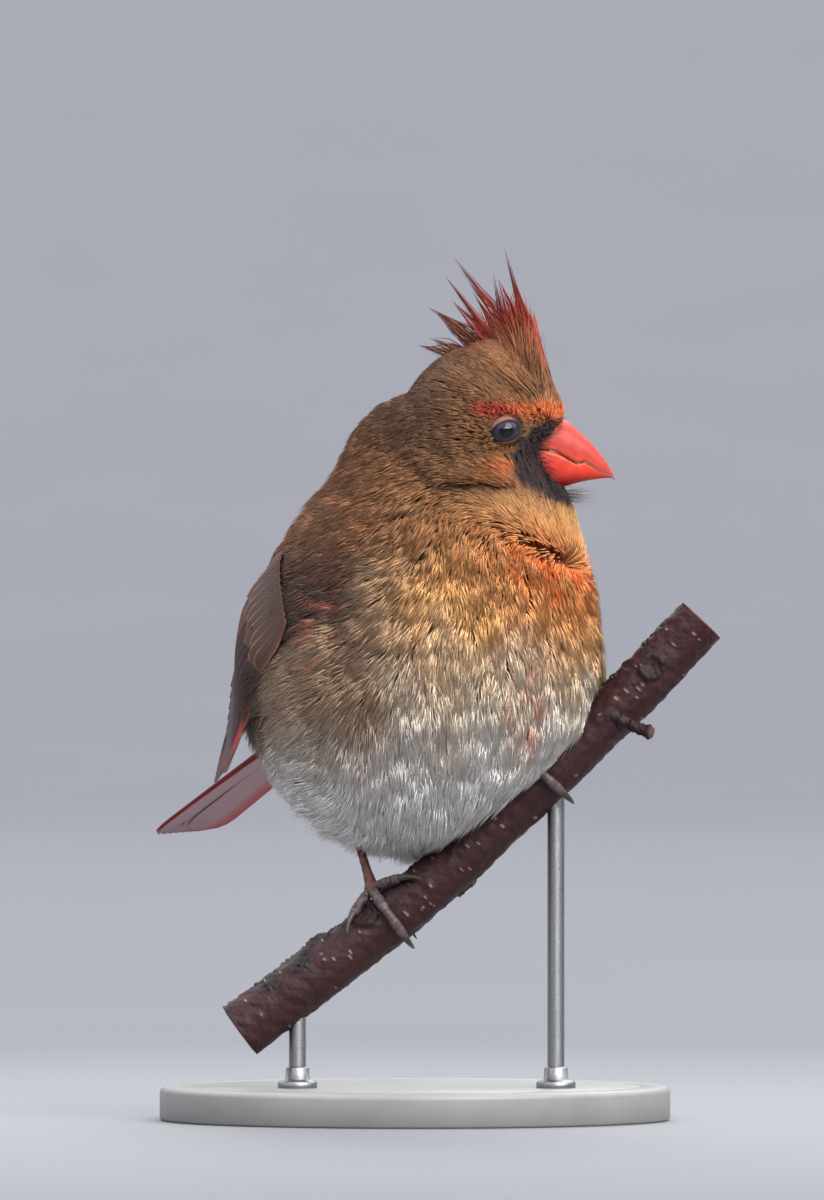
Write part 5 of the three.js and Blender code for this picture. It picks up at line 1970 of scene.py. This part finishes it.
@dataclass
class Studio:
    """A pale floor, soft lights and the camera at the photograph's angle.

    Attributes:
        lamps: each lamp's name, its turn from the camera, height, softness, power and colour.
        scale: millimetres to a pixel of the 824 by 1200 picture, at the bird.
        axis_pixel: the pixel across at the model's upright axis.
        base_pixel: the pixel down at the height of the floor.
    """

    scale: float = 0.235
    axis_pixel: float = 415.0
    base_pixel: float = 1120.0
    width: int = 824
    height: int = 1200
    distance: float = 3500.0
    elevation: float = 0.0
    lamps: tuple = (("key", 38, 36, 50, 3.3, (1.0, 0.98, 0.95)), ("fill", 16, 6, 60, 4.4, (1.0, 0.99, 0.97)),
                    ("back", 165, 50, 40, 1.0, (0.97, 0.98, 1.0)))

    def floor(self) -> None:
        """A wide pale floor: a disc whose rim curves up in an arc far behind the bird. It is painted lighter
        round the stand, fading out by 0.6 m: a painted pool of light.
        """
        n = Nodes("floor")
        cloud = n.span(n.noise(6.0, 4.0), 0.3, 0.7)
        far = n.blend((0.104, 0.106, 0.125), (0.109, 0.111, 0.130), cloud)
        where = n.add("ShaderNodeVectorMath", operation="LENGTH")
        n.feed(where, 0, n.place())
        away = n.span(where.outputs["Value"], 0.06, 0.6)
        # Lighter round the stand and darker from 0.6 m out: a painted pool of light on the floor.
        n.paint(n.blend((0.20, 0.203, 0.22), far, away))
        n.gloss(0.6)
        turn = full_turn(96)
        bend = np.linspace(0, 1, 24)[:, None] * math.radians(80)
        r = np.concatenate([[[0.01], [1.0], [3.0]], 5.0 + 5.0 * np.sin(bend)])
        z = np.concatenate([[[0.0], [0.0], [0.0]], 5.0 * (1 - np.cos(bend))])
        points = np.stack([r * np.cos(turn), r * np.sin(turn), z + 0 * turn], -1).reshape(-1, 3)
        i, k = np.meshgrid(np.arange(len(r) - 1), np.arange(96), indexing="ij")
        k2 = (k + 1) % 96
        faces = np.stack([i * 96 + k, (i + 1) * 96 + k, (i + 1) * 96 + k2, i * 96 + k2], -1).reshape(-1, 4)
        mesh = bpy.data.meshes.new("floor")
        mesh.from_pydata(points.tolist(), [], faces.tolist() + [list(range(96))])
        mesh.polygons.foreach_set("use_smooth", np.ones(len(mesh.polygons), bool))
        mesh.materials.append(n.material)
        floor = bpy.data.objects.new("floor", mesh)
        bpy.context.scene.collection.objects.link(floor)

    def aim(self, thing: bpy.types.Object, turn: float, elevation: float) -> Vector:
        """Turns a lamp or camera towards the bird, and gives the direction from the bird to it."""
        a, e = math.radians(turn), math.radians(elevation)
        back = Vector((math.sin(a) * math.cos(e), -math.cos(a) * math.cos(e), math.sin(e)))
        thing.rotation_mode = "QUATERNION"
        thing.rotation_quaternion = (-back).to_track_quat("-Z", "Y")
        bpy.context.scene.collection.objects.link(thing)
        return back

    def lamp(self, name: str, turn: float, height: float, soft: float, power: float, colour: tuple) -> None:
        """A broad far lamp, whose light is as soft as its breadth in degrees."""
        light = bpy.data.lights.new(name, "SUN")
        light.angle, light.energy, light.color = math.radians(soft), power, colour
        lamp = bpy.data.objects.new(name, light)
        lamp.location = self.aim(lamp, CAMERA_YAW + turn, height) * 3

    def camera(self) -> None:
        """The camera: far off and level with the bird, so its frame is the photograph's."""
        middle_x = (self.width / 2 - self.axis_pixel) * self.scale
        middle_z = (self.base_pixel - self.height / 2) * self.scale
        target = BRANCH_ALONG * middle_x + np.array([0, 0, middle_z])
        data = bpy.data.cameras.new("camera")
        data.sensor_width = 36.0
        data.lens = 36.0 * self.distance / (self.height * self.scale)
        data.clip_end = 200.0
        camera = bpy.data.objects.new("camera", data)
        back = self.aim(camera, CAMERA_YAW, self.elevation)
        camera.location = Vector(target * MM) + back * self.distance * MM
        bpy.context.scene.camera = camera

    def build(self) -> None:
        """Makes the studio."""
        scene = bpy.context.scene
        world = bpy.data.worlds.new("studio")
        world.use_nodes = True
        world.node_tree.nodes["Background"].inputs[0].default_value = (0.95, 0.97, 1.0, 1.0)
        world.node_tree.nodes["Background"].inputs[1].default_value = 2.0
        scene.world = world
        scene.view_settings.view_transform = "Standard"
        self.floor()
        for lamp in self.lamps:
            self.lamp(*lamp)
        self.camera()


def main() -> None:
    """Builds the bird, its perch, its stand and the studio, and reports each piece."""
    logging.basicConfig(level=logging.INFO, format="%(message)s")
    down, vane = Down().make(), Vane().make()
    Skin().build(down)
    Coat().build(down)
    Crest().build(Down("crest_down", 0.6, 0.3).make())
    scales = Scales().make()
    Face().build(WetEye().make(), Horn("lid_skin", 0.5, 900.0).make(), Down("bristle", 1.0, 0.2).make())
    Bill().build(Horn("bill_horn", 0.42).make())
    for side in ("right", "left"):
        Wing(side).build(vane)
    Tail().build(vane)
    horn = Horn("claw_horn", 0.35).make()
    Leg("right", -4.9, (-18, 5, 80)).build(scales, horn)
    Leg("left", 30.2, (16, -13, 106)).build(scales, horn)
    Perch().build(Bark().make())
    Stand().build(Painted("board_paint", (0.27, 0.267, 0.26)).make(), Brushed().make())
    Studio().build()


if __name__ == "__main__":
    main()
